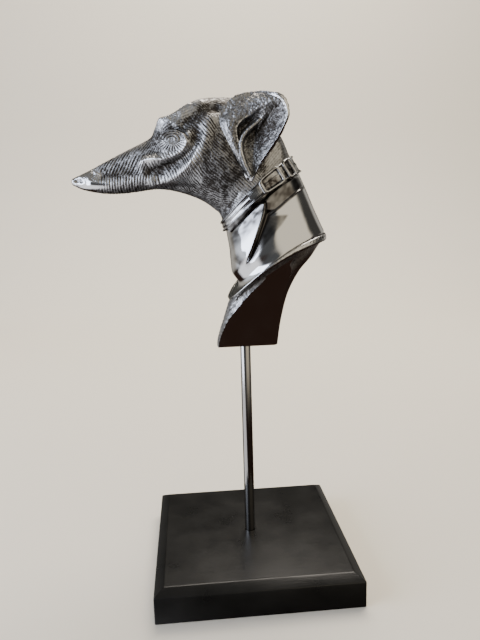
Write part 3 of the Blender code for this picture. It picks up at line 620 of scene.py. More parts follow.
def engraving(grid):
    """Depth of the engraved hair at each point, how dark the patina lies there, with painted shade and painted
    highlight, and how hairy it is.
    """
    x, z, laid = grid[..., 0], grid[..., 2], arc_heights(grid)
    bend = 0.7 * lumps(grid, 11.0, 3) + 0.12 * lumps(grid, 4.0, 4)
    weights = [
        np.exp(-2.5 * (((x - mid_x) / reach_x) ** 2 + ((z - mid_z) / reach_z) ** 2)) + 1e-12
        for _, (mid_x, mid_z), (reach_x, reach_z), *_ in HAIR_PATCHES
    ]
    total = sum(weight**1.6 for weight in weights)
    depth = np.zeros(x.shape)
    dark = np.zeros(x.shape)
    furred = np.zeros(x.shape)
    for number, (weight, (*_, lean, gap, length, deep, patina)) in enumerate(zip(weights, HAIR_PATCHES)):
        share = weight**1.6 / total
        turned = math.radians(lean)
        across = (x * math.sin(turned) - laid * math.cos(turned) + bend) / gap
        row = np.floor(across)
        along = (x * math.cos(turned) + laid * math.sin(turned)) / length + scatter(row, number)
        stroke = np.floor(along)
        firm = 0.5 + 0.5 * scatter(row, stroke, number)
        taper = np.sin(math.pi * np.clip(along - stroke, 0, 1)) ** 0.5
        groove = np.exp(-(((across - row - 0.5) / 0.25) ** 2)) * taper * firm
        depth += share * deep * groove
        furred += share * deep
        # Each patch's dark value is patina, with painted shade on the darkest patches and painted highlight on the
        # lightest; the grooves add patina.
        dark += share * (patina + 0.75 * groove**0.6 * min(1.0, deep / 0.3))
    round_eye, above, groove = eye_rows(x, z, bend)
    depth = depth * (1 - round_eye) + round_eye * EYE_HAIR_DEPTH * groove
    dark = dark * (1 - round_eye) + round_eye * (0.52 + 0.15 * above + 0.48 * groove)
    return depth, dark, np.clip(furred / 0.3, 0, 1)


def stipple(points, amount):
    """Small pits all over, punched or left by the mould."""
    fine = lumps(points, STIPPLE_SIZE, 11) + 0.6 * lumps(points, STIPPLE_SIZE * 0.6, 12)
    return STIPPLE_DEPTH * amount * fine


def shrunk(ring, share, move):
    middle = ring.mean(axis=0)
    return middle + (ring - middle) * share + np.array(move)


def in_metres(points):
    unit = bpy.context.scene.greyhound_casting.figure_unit
    return np.asarray(points) * unit + np.array([0.0, 0.0, BUST_BOX[0][2]])


def only(obj=None):
    """Leaves edit mode, deselects everything, and makes obj the one that operators act on."""
    if bpy.context.object and bpy.context.object.mode != "OBJECT":
        bpy.ops.object.mode_set(mode="OBJECT")
    bpy.ops.object.select_all(action="DESELECT")
    if obj:
        obj.select_set(True)
        bpy.context.view_layer.objects.active = obj


def middle_of(box):
    return [(low + high) / 2 for low, high in zip(*box)]


def named(name):
    """The primitive that was just added, under its own name."""
    obj = bpy.context.object
    obj.name = obj.data.name = name
    return obj


def keep_attribute(mesh, name, values):
    attribute = mesh.attributes.new(name, "FLOAT", "POINT")
    attribute.data.foreach_set("value", np.clip(values, 0, 1).astype(np.float32))


def edit_all(operator, **settings):
    """Runs an edit-mode operator on the whole of the active mesh."""
    bpy.ops.object.mode_set(mode="EDIT")
    bpy.ops.mesh.select_all(action="SELECT")
    operator(**settings)
    bpy.ops.object.mode_set(mode="OBJECT")


def shell_from_rings(name, rings, marks=None, mirrored=False, normals=None):
    """A closed shell: a grid whose rows are pulled onto the rings, sewn up along its sides and at both ends.

    No extrusion gives this free form, so the grid's points are moved in code."""
    count, around = rings.shape[:2]
    only()
    bpy.ops.mesh.primitive_grid_add(x_subdivisions=around, y_subdivisions=count + 1, size=2.0)
    obj = named(name)
    mesh = obj.data
    places = read_places(mesh)
    row = np.rint((places[:, 1] + 1) / 2 * (count + 1)).astype(int)
    meridian = np.rint((places[:, 0] + 1) / 2 * around).astype(int) % around
    ring = np.clip(row - 1, 0, count - 1)
    placed = rings[ring, meridian]
    placed[row == 0] = rings[0].mean(axis=0)
    placed[row == count + 1] = rings[-1].mean(axis=0)
    placed = in_metres(placed)
    if mirrored:
        placed[:, 1] *= -1
    mesh.vertices.foreach_set("co", placed.astype(np.float32).ravel())
    for key, values in (marks or {}).items():
        keep_attribute(mesh, key, values[ring, meridian])
    if normals is not None:
        pointed = mesh.attributes.new("pointed", "FLOAT_VECTOR", "POINT")
        pointed.data.foreach_set("vector", normals[ring, meridian].astype(np.float32).ravel())
    edit_all(bpy.ops.mesh.remove_doubles, threshold=0.000001)
    turn_outwards(obj)
    bpy.ops.object.shade_smooth()
    if normals is not None:
        pointed = np.empty(len(mesh.vertices) * 3, np.float32)
        mesh.attributes["pointed"].data.foreach_get("vector", pointed)
        mesh.attributes.remove(mesh.attributes["pointed"])
        mesh.normals_split_custom_set_from_vertices(pointed.reshape(-1, 3))
    return obj


def read_places(mesh):
    places = np.empty(len(mesh.vertices) * 3, np.float32)
    mesh.vertices.foreach_get("co", places)
    return places.reshape(-1, 3).astype(float)


def write_places(mesh, places):
    mesh.vertices.foreach_set("co", in_metres(places).astype(np.float32).ravel())
    mesh.update()


def in_figure(mesh):
    """The mesh's points in figure millimetres."""
    return (read_places(mesh) - np.array([0, 0, BUST_BOX[0][2]])) / bpy.context.scene.greyhound_casting.figure_unit


def turn_outwards(obj):
    """Points all faces outwards."""
    only(obj)
    edit_all(bpy.ops.mesh.normals_make_consistent, inside=False)
    bm = bmesh.new()
    bm.from_mesh(obj.data)
    inside_out = bm.calc_volume(signed=True) < 0
    bm.free()
    if inside_out:
        edit_all(bpy.ops.mesh.flip_normals)


def apply_modifier(obj, kind, **settings):
    only(obj)
    modifier = obj.modifiers.new(kind.lower(), kind)
    for key, value in settings.items():
        setattr(modifier, key, value)
    bpy.ops.object.modifier_apply(modifier=modifier.name)


def cut_away(obj, cutter):
    """Takes the cutter's form out of obj, and the cutter out of the scene."""
    apply_modifier(obj, "BOOLEAN", operation="DIFFERENCE", object=cutter, solver="EXACT")
    bpy.data.objects.remove(cutter, do_unlink=True)


def hole_cutter(name, depth, middle):
    """What is cut from the block and from the foot for the rod, with its clearance."""
    low, high = ROD_BOX
    only()
    bpy.ops.mesh.primitive_cylinder_add(
        vertices=64, radius=(high[0] - low[0]) / 2 + ROD_CLEARANCE, depth=depth, location=(0, 0, middle)
    )
    cutter = named(name)
    bpy.ops.object.transform_apply(location=True, rotation=True, scale=True)
    return cutter


def finish_piece(obj, node, slot, *materials):
    """Gives a piece its materials and its body, and hides the node that it stands for. The slot is not used."""
    obj.data.materials.clear()
    for material in materials:
        obj.data.materials.append(material)
    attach(obj, "root")
    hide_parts(node)


def add_node(tree, kind, inputs=None, **settings):
    """Adds a node with its settings. An input is a value, or the socket that it is linked to."""
    added = tree.nodes.new(kind)
    for key, value in settings.items():
        setattr(added, key, value)
    for key, value in (inputs or {}).items():
        if isinstance(value, bpy.types.NodeSocket):
            tree.links.new(value, added.inputs[key])
        else:
            added.inputs[key].default_value = value
    return added


def new_material(name):
    """A material with its shader, its node tree and the object's own coordinates."""
    material = bpy.data.materials.new(name)
    material.use_nodes = True
    tree = material.node_tree
    shader = tree.nodes["Principled BSDF"]
    place = add_node(tree, "ShaderNodeTexCoord").outputs["Object"]
    return material, tree, shader, place


def material_once(name, make):
    return bpy.data.materials.get(name) or make(name)


def engraved_aluminium(name):
    """Sand-cast aluminium, engraved, darkened with a waxy patina and rubbed back: bright on the crests, dark in the
    cuts; its hollow mark also carries painted shade and painted highlight.
    """
    settings = bpy.context.scene.greyhound_casting
    material, tree, shader, place = new_material(name)
    hollow = add_node(tree, "ShaderNodeAttribute", attribute_name="hollow").outputs["Fac"]
    polish = add_node(tree, "ShaderNodeAttribute", attribute_name="polish").outputs["Fac"]
    # Wax lies in blots about 3 mm across.
    blots = add_node(tree, "ShaderNodeTexNoise", {"Vector": place, "Scale": 330.0, "Detail": 3.0}).outputs["Fac"]
    # Grains of the mould's sand, 0.5 mm on the real casting, drawn at 0.8 mm so that they show.
    grain = add_node(tree, "ShaderNodeTexNoise", {"Vector": place, "Scale": 1250.0, "Detail": 2.0}).outputs["Fac"]
    dulled = add_node(tree, "ShaderNodeMath", {0: 1.0, 1: polish}, operation="SUBTRACT").outputs[0]
    blotted = add_node(
        tree, "ShaderNodeMapRange", {"Value": blots, "From Min": 0.35, "From Max": 0.7, "To Min": 0.75, "To Max": 1.2}
    ).outputs[0]
    # The hollow mark, blotted at random: patina, painted shade and painted highlight.
    patina_and_painted_shade_share = add_node(tree, "ShaderNodeMath", {0: hollow, 1: blotted}, operation="MULTIPLY").outputs[0]
    grained = add_node(
        tree, "ShaderNodeMapRange", {"Value": grain, "From Min": 0.3, "From Max": 0.7, "To Min": 0.3, "To Max": -0.14}
    ).outputs[0]
    grained = add_node(tree, "ShaderNodeMath", {0: grained, 1: dulled}, operation="MULTIPLY").outputs[0]
    patina_and_painted_shade_share = add_node(tree, "ShaderNodeMath", {0: patina_and_painted_shade_share, 1: grained}, operation="ADD", use_clamp=True).outputs[0]
    tint = add_node(
        tree, "ShaderNodeMix", {"Factor": patina_and_painted_shade_share, 6: tuple(settings.metal), 7: tuple(settings.patina)}, data_type="RGBA"
    ).outputs[2]
    rough = add_node(
        tree, "ShaderNodeMapRange", {"Value": patina_and_painted_shade_share, "From Min": 0.0, "From Max": 1.0, "To Min": 0.32, "To Max": 0.56}
    ).outputs[0]
    rough = add_node(tree, "ShaderNodeMix", {0: polish, 2: rough, 3: 0.12}, data_type="FLOAT").outputs[0]
    height = add_node(tree, "ShaderNodeMath", {0: grain, 1: dulled}, operation="MULTIPLY").outputs[0]
    bump = add_node(tree, "ShaderNodeBump", {"Strength": 0.4, "Distance": 0.0004, "Height": height}).outputs[0]
    tree.links.new(tint, shader.inputs["Base Color"])
    tree.links.new(rough, shader.inputs["Roughness"])
    tree.links.new(bump, shader.inputs["Normal"])
    shader.inputs["Metallic"].default_value = 1.0
    return material


def polished_aluminium(name):
    """Aluminium buffed to a mirror: clear reflections, soft buffing haze and faint rub marks."""
    settings = bpy.context.scene.greyhound_casting
    material, tree, shader, place = new_material(name)
    # Buffing haze changes over about 15 mm.
    haze = add_node(tree, "ShaderNodeTexNoise", {"Vector": place, "Scale": 65.0, "Detail": 4.0}).outputs["Fac"]
    rough = add_node(
        tree, "ShaderNodeMapRange", {"Value": haze, "From Min": 0.3, "From Max": 0.7, "To Min": 0.07, "To Max": 0.15}
    ).outputs[0]
    # The file's last waves, about 8 mm long and too shallow to see but in what they reflect.
    waves = add_node(tree, "ShaderNodeTexNoise", {"Vector": place, "Scale": 120.0, "Detail": 1.0}).outputs["Fac"]
    bump = add_node(tree, "ShaderNodeBump", {"Strength": 0.05, "Distance": 0.002, "Height": waves}).outputs[0]
    # The hollow mark darkens the mirror: painted shade under the collar and in the crease above the hem, and painted
    # dark reflection along the neckline and behind the lapel's crest.
    hollow = add_node(tree, "ShaderNodeAttribute", attribute_name="hollow").outputs["Fac"]
    tint = add_node(
        tree, "ShaderNodeMix", {"Factor": hollow, 6: tuple(settings.metal), 7: tuple(settings.patina)}, data_type="RGBA"
    ).outputs[2]
    tree.links.new(tint, shader.inputs["Base Color"])
    tree.links.new(rough, shader.inputs["Roughness"])
    tree.links.new(bump, shader.inputs["Normal"])
    shader.inputs["Metallic"].default_value = 1.0
    return material


def polished_steel(name):
    """Drawn steel bar, polished lengthwise: a long bright streak broken by fine lines along the bar."""
    settings = bpy.context.scene.greyhound_stand
    material, tree, shader, place = new_material(name)
    # Drawing lines are 0.1 mm wide and tens of mm long; here 0.4 mm wide, so that they show.
    stretched = add_node(tree, "ShaderNodeMapping", {"Vector": place, "Scale": (1.0, 1.0, 0.02)}).outputs[0]
    lines = add_node(tree, "ShaderNodeTexNoise", {"Vector": stretched, "Scale": 2400.0, "Detail": 2.0}).outputs["Fac"]
    rough = add_node(
        tree, "ShaderNodeMapRange", {"Value": lines, "From Min": 0.3, "From Max": 0.7, "To Min": 0.09, "To Max": 0.16}
    ).outputs[0]
    bump = add_node(tree, "ShaderNodeBump", {"Strength": 0.08, "Distance": 0.0001, "Height": lines}).outputs[0]
    tree.links.new(rough, shader.inputs["Roughness"])
    tree.links.new(bump, shader.inputs["Normal"])
    shader.inputs["Base Color"].default_value = tuple(settings.steel)
    shader.inputs["Metallic"].default_value = 1.0
    return material


def lacquered_wood(name):
    """Wood sprayed with satin black lacquer: the pores still show as fine lines in the sheen."""
    settings = bpy.context.scene.greyhound_stand
    material, tree, shader, place = new_material(name)
    # Pores run along X, about 0.8 mm apart and 15 mm long.
    along = add_node(tree, "ShaderNodeMapping", {"Vector": place, "Scale": (0.06, 1.0, 1.0)}).outputs[0]
    pores = add_node(tree, "ShaderNodeTexNoise", {"Vector": along, "Scale": 1100.0, "Detail": 3.0}).outputs["Fac"]
    # Dust and finger marks lie in patches about 25 mm across.
    marks = add_node(tree, "ShaderNodeTexNoise", {"Vector": place, "Scale": 40.0, "Detail": 5.0}).outputs["Fac"]
    rough = add_node(
        tree, "ShaderNodeMapRange", {"Value": marks, "From Min": 0.3, "From Max": 0.7, "To Min": 0.26, "To Max": 0.36}
    ).outputs[0]
    light = add_node(
        tree, "ShaderNodeMapRange", {"Value": marks, "From Min": 0.4, "From Max": 0.75, "To Min": 0.0, "To Max": 0.35}
    ).outputs[0]
    tint = add_node(
        tree, "ShaderNodeMix", {"Factor": light, 6: tuple(settings.lacquer), 7: colour("#1A1917")}, data_type="RGBA"
    ).outputs[2]
    bump = add_node(tree, "ShaderNodeBump", {"Strength": 0.18, "Distance": 0.0003, "Height": pores}).outputs[0]
    tree.links.new(tint, shader.inputs["Base Color"])
    tree.links.new(rough, shader.inputs["Roughness"])
    tree.links.new(bump, shader.inputs["Normal"])
    shader.inputs["IOR"].default_value = 1.38
    return material


def studio_paper(name):
    """Matt paper: an even pale colour with no shine."""
    material, tree, shader, place = new_material(name)
    # Fibres clump over about 4 mm.
    fibres = add_node(tree, "ShaderNodeTexNoise", {"Vector": place, "Scale": 250.0, "Detail": 3.0}).outputs["Fac"]
    bump = add_node(tree, "ShaderNodeBump", {"Strength": 0.05, "Distance": 0.0005, "Height": fibres}).outputs[0]
    tree.links.new(bump, shader.inputs["Normal"])
    shader.inputs["Base Color"].default_value = tuple(bpy.context.scene.greyhound_stage.paper)
    shader.inputs["Roughness"].default_value = 0.95
    return material


def head_surface(stations, around):
    """The engraved surface of head and neck: its rings, and its marks for the patina, the painted shade and painted
    highlight, and the polish.
    """
    grid, side_share = body_rings(stations, around)
    seen = grid[..., [0, 2]]
    on_side = smooth_step(0.15, 0.5, side_share)
    broad = stroke_height(seen, HEAD_STROKES) * on_side
    fine = stroke_height(seen, FINE_STROKES) * on_side
    behind, _ = distance_to_line(seen, EAR_FRONT)
    from_hollow = np.hypot(seen[..., 0] - EAR_HOLLOW[0], seen[..., 1] - EAR_HOLLOW[1])
    under_ear = smooth_step(0.5, 4.0, behind) * np.exp(-((from_hollow / SKULL_HOLLOW_REACH) ** 6))
    laid_back = SKULL_UNDER_EAR * under_ear * smooth_step(0.4, 0.8, side_share)
    form = grid + outward_normals(grid) * (broad + fine - laid_back)[..., None]
    depth, dark, furred = engraving(form)
    depth = depth * bpy.context.scene.greyhound_casting.hair_depth
    nose = 1 - smooth_step(NOSE_SMOOTH_TO, NOSE_SMOOTH_FROM, form[..., 0])
    off_patch = (form[..., [0, 2]] - np.array(NOSE_PATCH)) / np.array(NOSE_PATCH_REACH)
    under_nose = np.exp(-(off_patch[..., 0] ** 2 + off_patch[..., 1] ** 2))
    nape = smooth_step(10.0, 20.0, form[..., 0]) * smooth_step(100.0, 128.0, form[..., 2])
    smooth = np.clip(0.8 * nose + 1.2 * under_nose + 0.5 * nape, 0, 1)
    rough = (1 - smooth) * (1 - 0.75 * furred)
    relief = stipple(form, rough) - depth * (1 - smooth)
    surface = form + outward_normals(form) * relief[..., None]
    # Painted highlight on the raised strokes, and darker patina in the carved hollows.
    low = np.clip(-(broad / 4.0 + fine / 1.4), -0.7, 0.6)
    low = np.where(low < 0, 0.75, 0.28) * low
    hollow = np.clip(dark * (1 - 0.9 * smooth) + low - 0.7 * relief, 0, 1)
    polish = np.clip(
        0.45 * nose + 0.9 * under_nose + 0.45 * nape + 0.25 * np.clip(broad / 3.0, 0, 1) * (1 - dark), 0, 1
    )
    return surface, {"hollow": hollow, "polish": polish}


class GREYHOUND_OT_head(bpy.types.Operator):
    """Makes the engraved head and neck, in three pieces that share their rings"""

    bl_idname = "greyhound.head"
    bl_label = "Head"

    def execute(self, context):
        brow, cheek, collar = (place_in(BODY_PLAN, name) for name in ("brow foot", "cheek", "collar top"))
        metal = material_once("engraved_cast_aluminium", engraved_aluminium)
        parts = (
            ("casting_muzzle", even_stations(BODY_PLAN, 0, brow, MUZZLE_GAP), MUZZLE_AROUND),
            ("casting_face", even_stations(BODY_PLAN, brow, cheek, HEAD_GAP), HEAD_AROUND),
            ("casting_neck", even_stations(BODY_PLAN, cheek, collar + 0.5, HEAD_GAP), HEAD_AROUND),
        )
        for name, stations, around in parts:
            step = stations[1] - stations[0]
            wider = np.concatenate([[stations[0] - step], stations, [stations[-1] + step]])
            rings, marks = head_surface(np.clip(wider, 0, len(BODY_PLAN) - 1), around)
            normals = outward_normals(rings)
            rings, normals = rings[1:-1], normals[1:-1]
            marks = {key: values[1:-1] for key, values in marks.items()}
            if name == "casting_muzzle":
                caps = [
                    shrunk(rings[0], math.sin(angle), (-NOSE_CAP_DEPTH * math.cos(angle), 0, 0))
                    for angle in np.radians((8, 20, 34, 48, 62, 76))
                ]
                rings = np.concatenate([np.array(caps), rings])
                marks = {
                    key: np.concatenate([values[:1].repeat(len(caps), axis=0), values]) for key, values in marks.items()
                }
                normals = outward_normals(rings)
            if name == "casting_face":
                rings[0, 1::2] = (rings[0, 0::2] + np.roll(rings[0, 0::2], -1, axis=0)) / 2
            piece = shell_from_rings(name, rings, marks, normals=normals)
            finish_piece(piece, "greyhound_bust", "cast_aluminium", metal)
        return {"FINISHED"}


def side_of_head(seen):
    """Half width of the bare head at each (x, z) point, found by stepping towards the point."""
    station = np.full(seen.shape[:-1], 13.0)
    turn = np.full(seen.shape[:-1], 0.15)
    for _ in range(14):
        here = section_points(BODY_PLAN, station, turn)[..., [0, 2]]
        by_station = (section_points(BODY_PLAN, station + 0.01, turn)[..., [0, 2]] - here) / 0.01
        by_turn = (section_points(BODY_PLAN, station, turn + 0.001)[..., [0, 2]] - here) / 0.001
        miss = seen - here
        area = by_station[..., 0] * by_turn[..., 1] - by_station[..., 1] * by_turn[..., 0]
        area = np.where(np.abs(area) < 1.0, 1.0 * np.sign(area) + (area == 0), area)
        station_step = (miss[..., 0] * by_turn[..., 1] - miss[..., 1] * by_turn[..., 0]) / area
        turn_step = (by_station[..., 0] * miss[..., 1] - by_station[..., 1] * miss[..., 0]) / area
        station = np.clip(station + np.clip(station_step, -1.5, 1.5), 8.0, 17.0)
        turn = np.clip(turn + np.clip(turn_step, -0.06, 0.06), 0.004, 0.45)
    return -section_points(BODY_PLAN, station, turn)[..., 1]


def ear_surface():
    """The left ear as rings, from the middle of its hollow out to the rim and back to its root."""
    turns = np.arange(EAR_AROUND) / EAR_AROUND
    rows = np.array([[*rim, *rest] for _, rim, *rest in EAR_OUTLINE])
    x, z, side, lip, lip_side, fall = np.moveaxis(spline(rows, turns * len(rows), closed=True), -1, 0)
    centre_x, centre_z = EAR_HOLLOW
    grows_out = 1 - smooth_step(0.68, 0.9, lip)
    free = 1 - grows_out
    rings, hollow, polish = [], [], []
    for way_out in np.linspace(0, 1, EAR_RINGS - len(EAR_RIM_ANGLES) - EAR_BACK_RINGS)[1:] ** 0.85:
        seen_x = centre_x + way_out * (x - centre_x)
        seen_z = centre_z + way_out * (z - centre_z)
        seen = np.stack([seen_x, seen_z], -1)
        inside = EAR_FLOOR_SIDE + (lip_side - EAR_FLOOR_SIDE) * np.minimum(way_out / lip, 1) ** fall
        past = np.clip((way_out - lip) / np.maximum(1 - lip, 1e-6), 0, 1)
        out = inside + (side - lip_side) * past ** (1.5 + 1.1 * grows_out)
        apart, _ = distance_to_line(seen, EAR_FOLD)
        on_fold = np.exp(-((apart / EAR_FOLD_REACH) ** 4))
        level = np.maximum(out, EAR_FLOOR_SIDE + (EAR_FOLD_SIDE - EAR_FLOOR_SIDE) * on_fold)
        skull = side_of_head(seen)
        merged = (level + skull + np.sqrt((level - skull) ** 2 + EAR_MERGE)) / 2
        share = grows_out * smooth_step(0.0, 0.4, past)
        level = level * (1 - share) + merged * share
        level = level - EAR_EDGE_SINKS * grows_out * smooth_step(0.8, 1.0, way_out)
        level = level + EAR_BEAD_HEIGHT * free * smooth_step(0.93, 0.965, way_out)
        rings.append(np.stack([seen_x, -level, seen_z], -1))
        # Painted shade deep in the bowl; painted highlight on the fold, along the edge past the lip and at the root;
        # the rim's bead is left bare, rubbed bright and a painted highlight.
        deep = np.clip((lip_side - level) / 9.0, 0, 1) * (way_out < lip)
        bright = on_fold * smooth_step(26.5, 28.5, level) * (way_out < lip)
        bead = smooth_step(0.925, 0.945, way_out) * free
        edge = np.exp(-(((way_out - lip - 0.012) / 0.02) ** 2)) * grows_out
        root = grows_out * smooth_step(0.6, 0.85, way_out)
        hollow.append(np.clip(0.70 + 0.32 * deep - 0.3 * bright - bead - 0.6 * edge - 0.12 * root, 0, 1))
        polish.append(np.clip(0.25 * bright + 0.7 * bead + 0.5 * edge + 0.1 * root, 0, 1))
    away = np.stack([x - centre_x, z - centre_z], -1)
    away /= np.linalg.norm(away, axis=-1, keepdims=True)
    for angle in np.radians(EAR_RIM_ANGLES):
        roll = EAR_RIM_ROLL * math.sin(angle) * (0.3 + 0.7 * free)
        back = EAR_RIM_THICKNESS * (1 - math.cos(angle)) / 2
        rings.append(np.stack([x + away[:, 0] * roll, -(level - back), z + away[:, 1] * roll], -1))
        # Painted highlight on the rim's first turn, painted dark reflection on the rest of its roll.
        hollow.append(0.5 + 0.3 * free * (angle > 0.6) - 0.5 * free * (angle < 0.6))
        polish.append(free * (angle < 0.6) + 0.25 * free * (angle > 0.6))
    back = level - EAR_RIM_THICKNESS
    root = np.minimum(EAR_ROOT_SIDE, back - 2.0)
    for share in np.linspace(0, 1, EAR_BACK_RINGS + 1)[1:]:
        narrow = 1 - EAR_BACK_NARROWS * share**0.8
        depth = back + (root - back) * share**1.3
        rings.append(np.stack([centre_x + narrow * (x - centre_x), -depth, centre_z + narrow * (z - centre_z)], -1))
        hollow.append(np.full(EAR_AROUND, 0.66))
        polish.append(np.full(EAR_AROUND, 0.2))
    rings = np.array(rings)
    hollow, polish = np.array(hollow), np.array(polish)
    relief = stipple(rings, 1 - polish)
    return rings - outward_normals(rings) * relief[..., None], {"hollow": hollow, "polish": polish}


class GREYHOUND_OT_ears(bpy.types.Operator):
    """Makes the two ears, which are one form and its mirror image"""

    bl_idname = "greyhound.ears"
    bl_label = "Ears"

    def execute(self, context):
        metal = material_once("engraved_cast_aluminium", engraved_aluminium)
        rings, marks = ear_surface()
        for name, mirrored in (("casting_left_ear", False), ("casting_right_ear", True)):
            ear = shell_from_rings(name, rings, marks, mirrored)
            finish_piece(ear, "greyhound_bust", "cast_aluminium", metal)
        return {"FINISHED"}


def collar_points(turns, across, height):
    """Points at a height over the neck, in the collar's own terms."""
    top, bottom = place_in(BODY_PLAN, "collar top"), place_in(BODY_PLAN, "collar bottom")
    station = top + (bottom - top) * across
    here = section_points(BODY_PLAN, station, turns)
    step = 0.002
    round_neck = section_points(BODY_PLAN, station, turns + step) - here
    down_neck = section_points(BODY_PLAN, station + step, turns) - here
    normal = np.cross(round_neck, down_neck)
    normal /= np.linalg.norm(normal, axis=-1, keepdims=True)
    return here + normal * np.asarray(height)[..., None]


def torus_onto(name, major, minor, place):
    """A closed ring: a torus whose points are moved to place(turn round the ring, turn round its bar)."""
    only()
    bpy.ops.mesh.primitive_torus_add(major_segments=major, minor_segments=minor, major_radius=1.0, minor_radius=0.25)
    obj = named(name)
    mesh = obj.data
    places = read_places(mesh)
    far = np.hypot(places[:, 0], places[:, 1]) - 1.0
    round_ring = np.rint(np.arctan2(places[:, 1], places[:, 0]) / (2 * math.pi) * major) % major / major
    round_bar = np.rint(np.arctan2(places[:, 2], far) / (2 * math.pi) * minor) % minor / minor
    write_places(mesh, place(round_ring, round_bar))
    turn_outwards(obj)
    bpy.ops.object.shade_smooth()
    return obj


def strap_place(round_ring, round_bar):
    """Where a point of the strap lies: its outer face for most of the bar, its hidden back for the rest."""
    profile = np.array(STRAP_PROFILE)
    steps = np.linalg.norm(np.diff(profile * np.array([STRAP_WIDTH, 1.0]), axis=0), axis=1)
    walked = np.concatenate([[0.0], np.cumsum(steps)]) / steps.sum()
    along = np.clip(round_bar / 0.94, 0, 1)
    back = np.clip((round_bar - 0.94) / 0.06, 0, 1)
    across = np.interp(along, walked, profile[:, 0]) * (1 - back)
    height = np.interp(along, walked, profile[:, 1])
    return collar_points(round_ring, across, height)


def frame_place(turn_range, across_range):
    """Where a point of a buckle's frame lies: a rounded bar that runs round a rounded oblong."""
    low, high = FRAME_FOOT, STRAP_HEIGHT + FRAME_RISE

    def place(round_ring, round_bar):
        angle, section = 2 * math.pi * round_ring, 2 * math.pi * round_bar
        half_length = (turn_range[1] - turn_range[0]) / 2 * TURN_LENGTH
        half_width = (across_range[1] - across_range[0]) / 2 * STRAP_WIDTH
        half = np.array([half_length, half_width]) - FRAME_HALF_BAR
        round_path = np.stack([np.cos(angle), np.sin(angle)], -1)
        path = np.sign(round_path) * np.abs(round_path) ** FRAME_CORNER * half
        outward = path / half**2
        outward = np.sign(outward) * np.abs(outward) ** 3
        outward /= np.maximum(np.linalg.norm(outward, axis=-1, keepdims=True), 1e-9)
        bulge = np.sign(np.cos(section)) * np.abs(np.cos(section)) ** 0.6
        rise = np.sign(np.sin(section)) * np.abs(np.sin(section)) ** 0.6
        spot = path + outward * (FRAME_HALF_BAR * bulge)[..., None]
        turn = sum(turn_range) / 2 + spot[..., 0] / TURN_LENGTH
        across = sum(across_range) / 2 + spot[..., 1] / STRAP_WIDTH
        return collar_points(turn, across, (low + high) / 2 + rise * (high - low) / 2)

    return place


def tongue_piece(name):
    """The strap's end, a plate with a rounded tip that lies on the strap past the buckle."""
    only()
    bpy.ops.mesh.primitive_cube_add(size=1.0)
    obj = named(name)
    edit_all(bpy.ops.mesh.subdivide, number_cuts=11)
    apply_modifier(obj, "BEVEL", width=0.03, segments=2, limit_method="ANGLE")
    mesh = obj.data
    places = read_places(mesh) + 0.5
    turn = TONGUE_TURNS[0] + places[:, 0] * (TONGUE_TURNS[1] - TONGUE_TURNS[0])
    tip = np.sqrt(np.clip(1 - (np.clip(places[:, 0] - 0.6, 0, 1) / 0.42) ** 2, 0.02, 1))
    across = 0.5 + (places[:, 1] - 0.5) * 0.52 * tip
    height = -1.0 + places[:, 2] * (STRAP_HEIGHT + 1.9)
    write_places(mesh, collar_points(turn, across, height))
    turn_outwards(obj)
    bpy.ops.object.shade_smooth_by_angle(angle=math.radians(45))
    return obj


class GREYHOUND_OT_collar(bpy.types.Operator):
    """Makes the collar: its strap, the buckle's frame, the keeper and the strap's end"""

    bl_idname = "greyhound.collar"
    bl_label = "Collar"

    def execute(self, context):
        metal = material_once("engraved_cast_aluminium", engraved_aluminium)
        strap = torus_onto("casting_collar_strap", STRAP_AROUND, 64, strap_place)
        buckle = torus_onto("casting_collar_buckle", 160, 20, frame_place(BUCKLE_TURNS, (-0.08, 1.08)))
        keeper = torus_onto("casting_collar_keeper", 120, 20, frame_place(KEEPER_TURNS, (-0.06, 1.06)))
        tongue = tongue_piece("casting_collar_tongue")
        for piece in (strap, buckle, keeper, tongue):
            places = in_figure(piece.data)
            mottled = lumps(places, 2.5, 21) * 0.15
            patina_and_painted_shade = (0.38 if piece is strap else 0.3) + 2.0 * mottled
            if piece is strap:
                # Painted shade under the buckle and under the keeper, added to the strap's patina.
                for (x, z), reach, dark in STRAP_PAINTED_SHADE:
                    patina_and_painted_shade += dark * np.exp(-((np.hypot(places[:, 0] - x, places[:, 2] - z) / reach) ** 4))
            keep_attribute(piece.data, "hollow", patina_and_painted_shade)
            keep_attribute(piece.data, "polish", 0.75 + mottled)
            finish_piece(piece, "greyhound_bust", "cast_aluminium", metal)
        return {"FINISHED"}


def engrave_below(mesh, least):
    """Gives the mesh's second material to each face that has a point less polished than least."""
    loops = np.empty(len(mesh.loops), np.int32)
    mesh.loops.foreach_get("vertex_index", loops)
    starts = np.empty(len(mesh.polygons), np.int32)
    mesh.polygons.foreach_get("loop_start", starts)
    polish = np.empty(len(mesh.vertices), np.float32)
    mesh.attributes["polish"].data.foreach_get("value", polish)
    dull = np.minimum.reduceat(polish[loops], starts) < least
    mesh.polygons.foreach_set("material_index", dull.astype(np.int32))
    mesh.update()


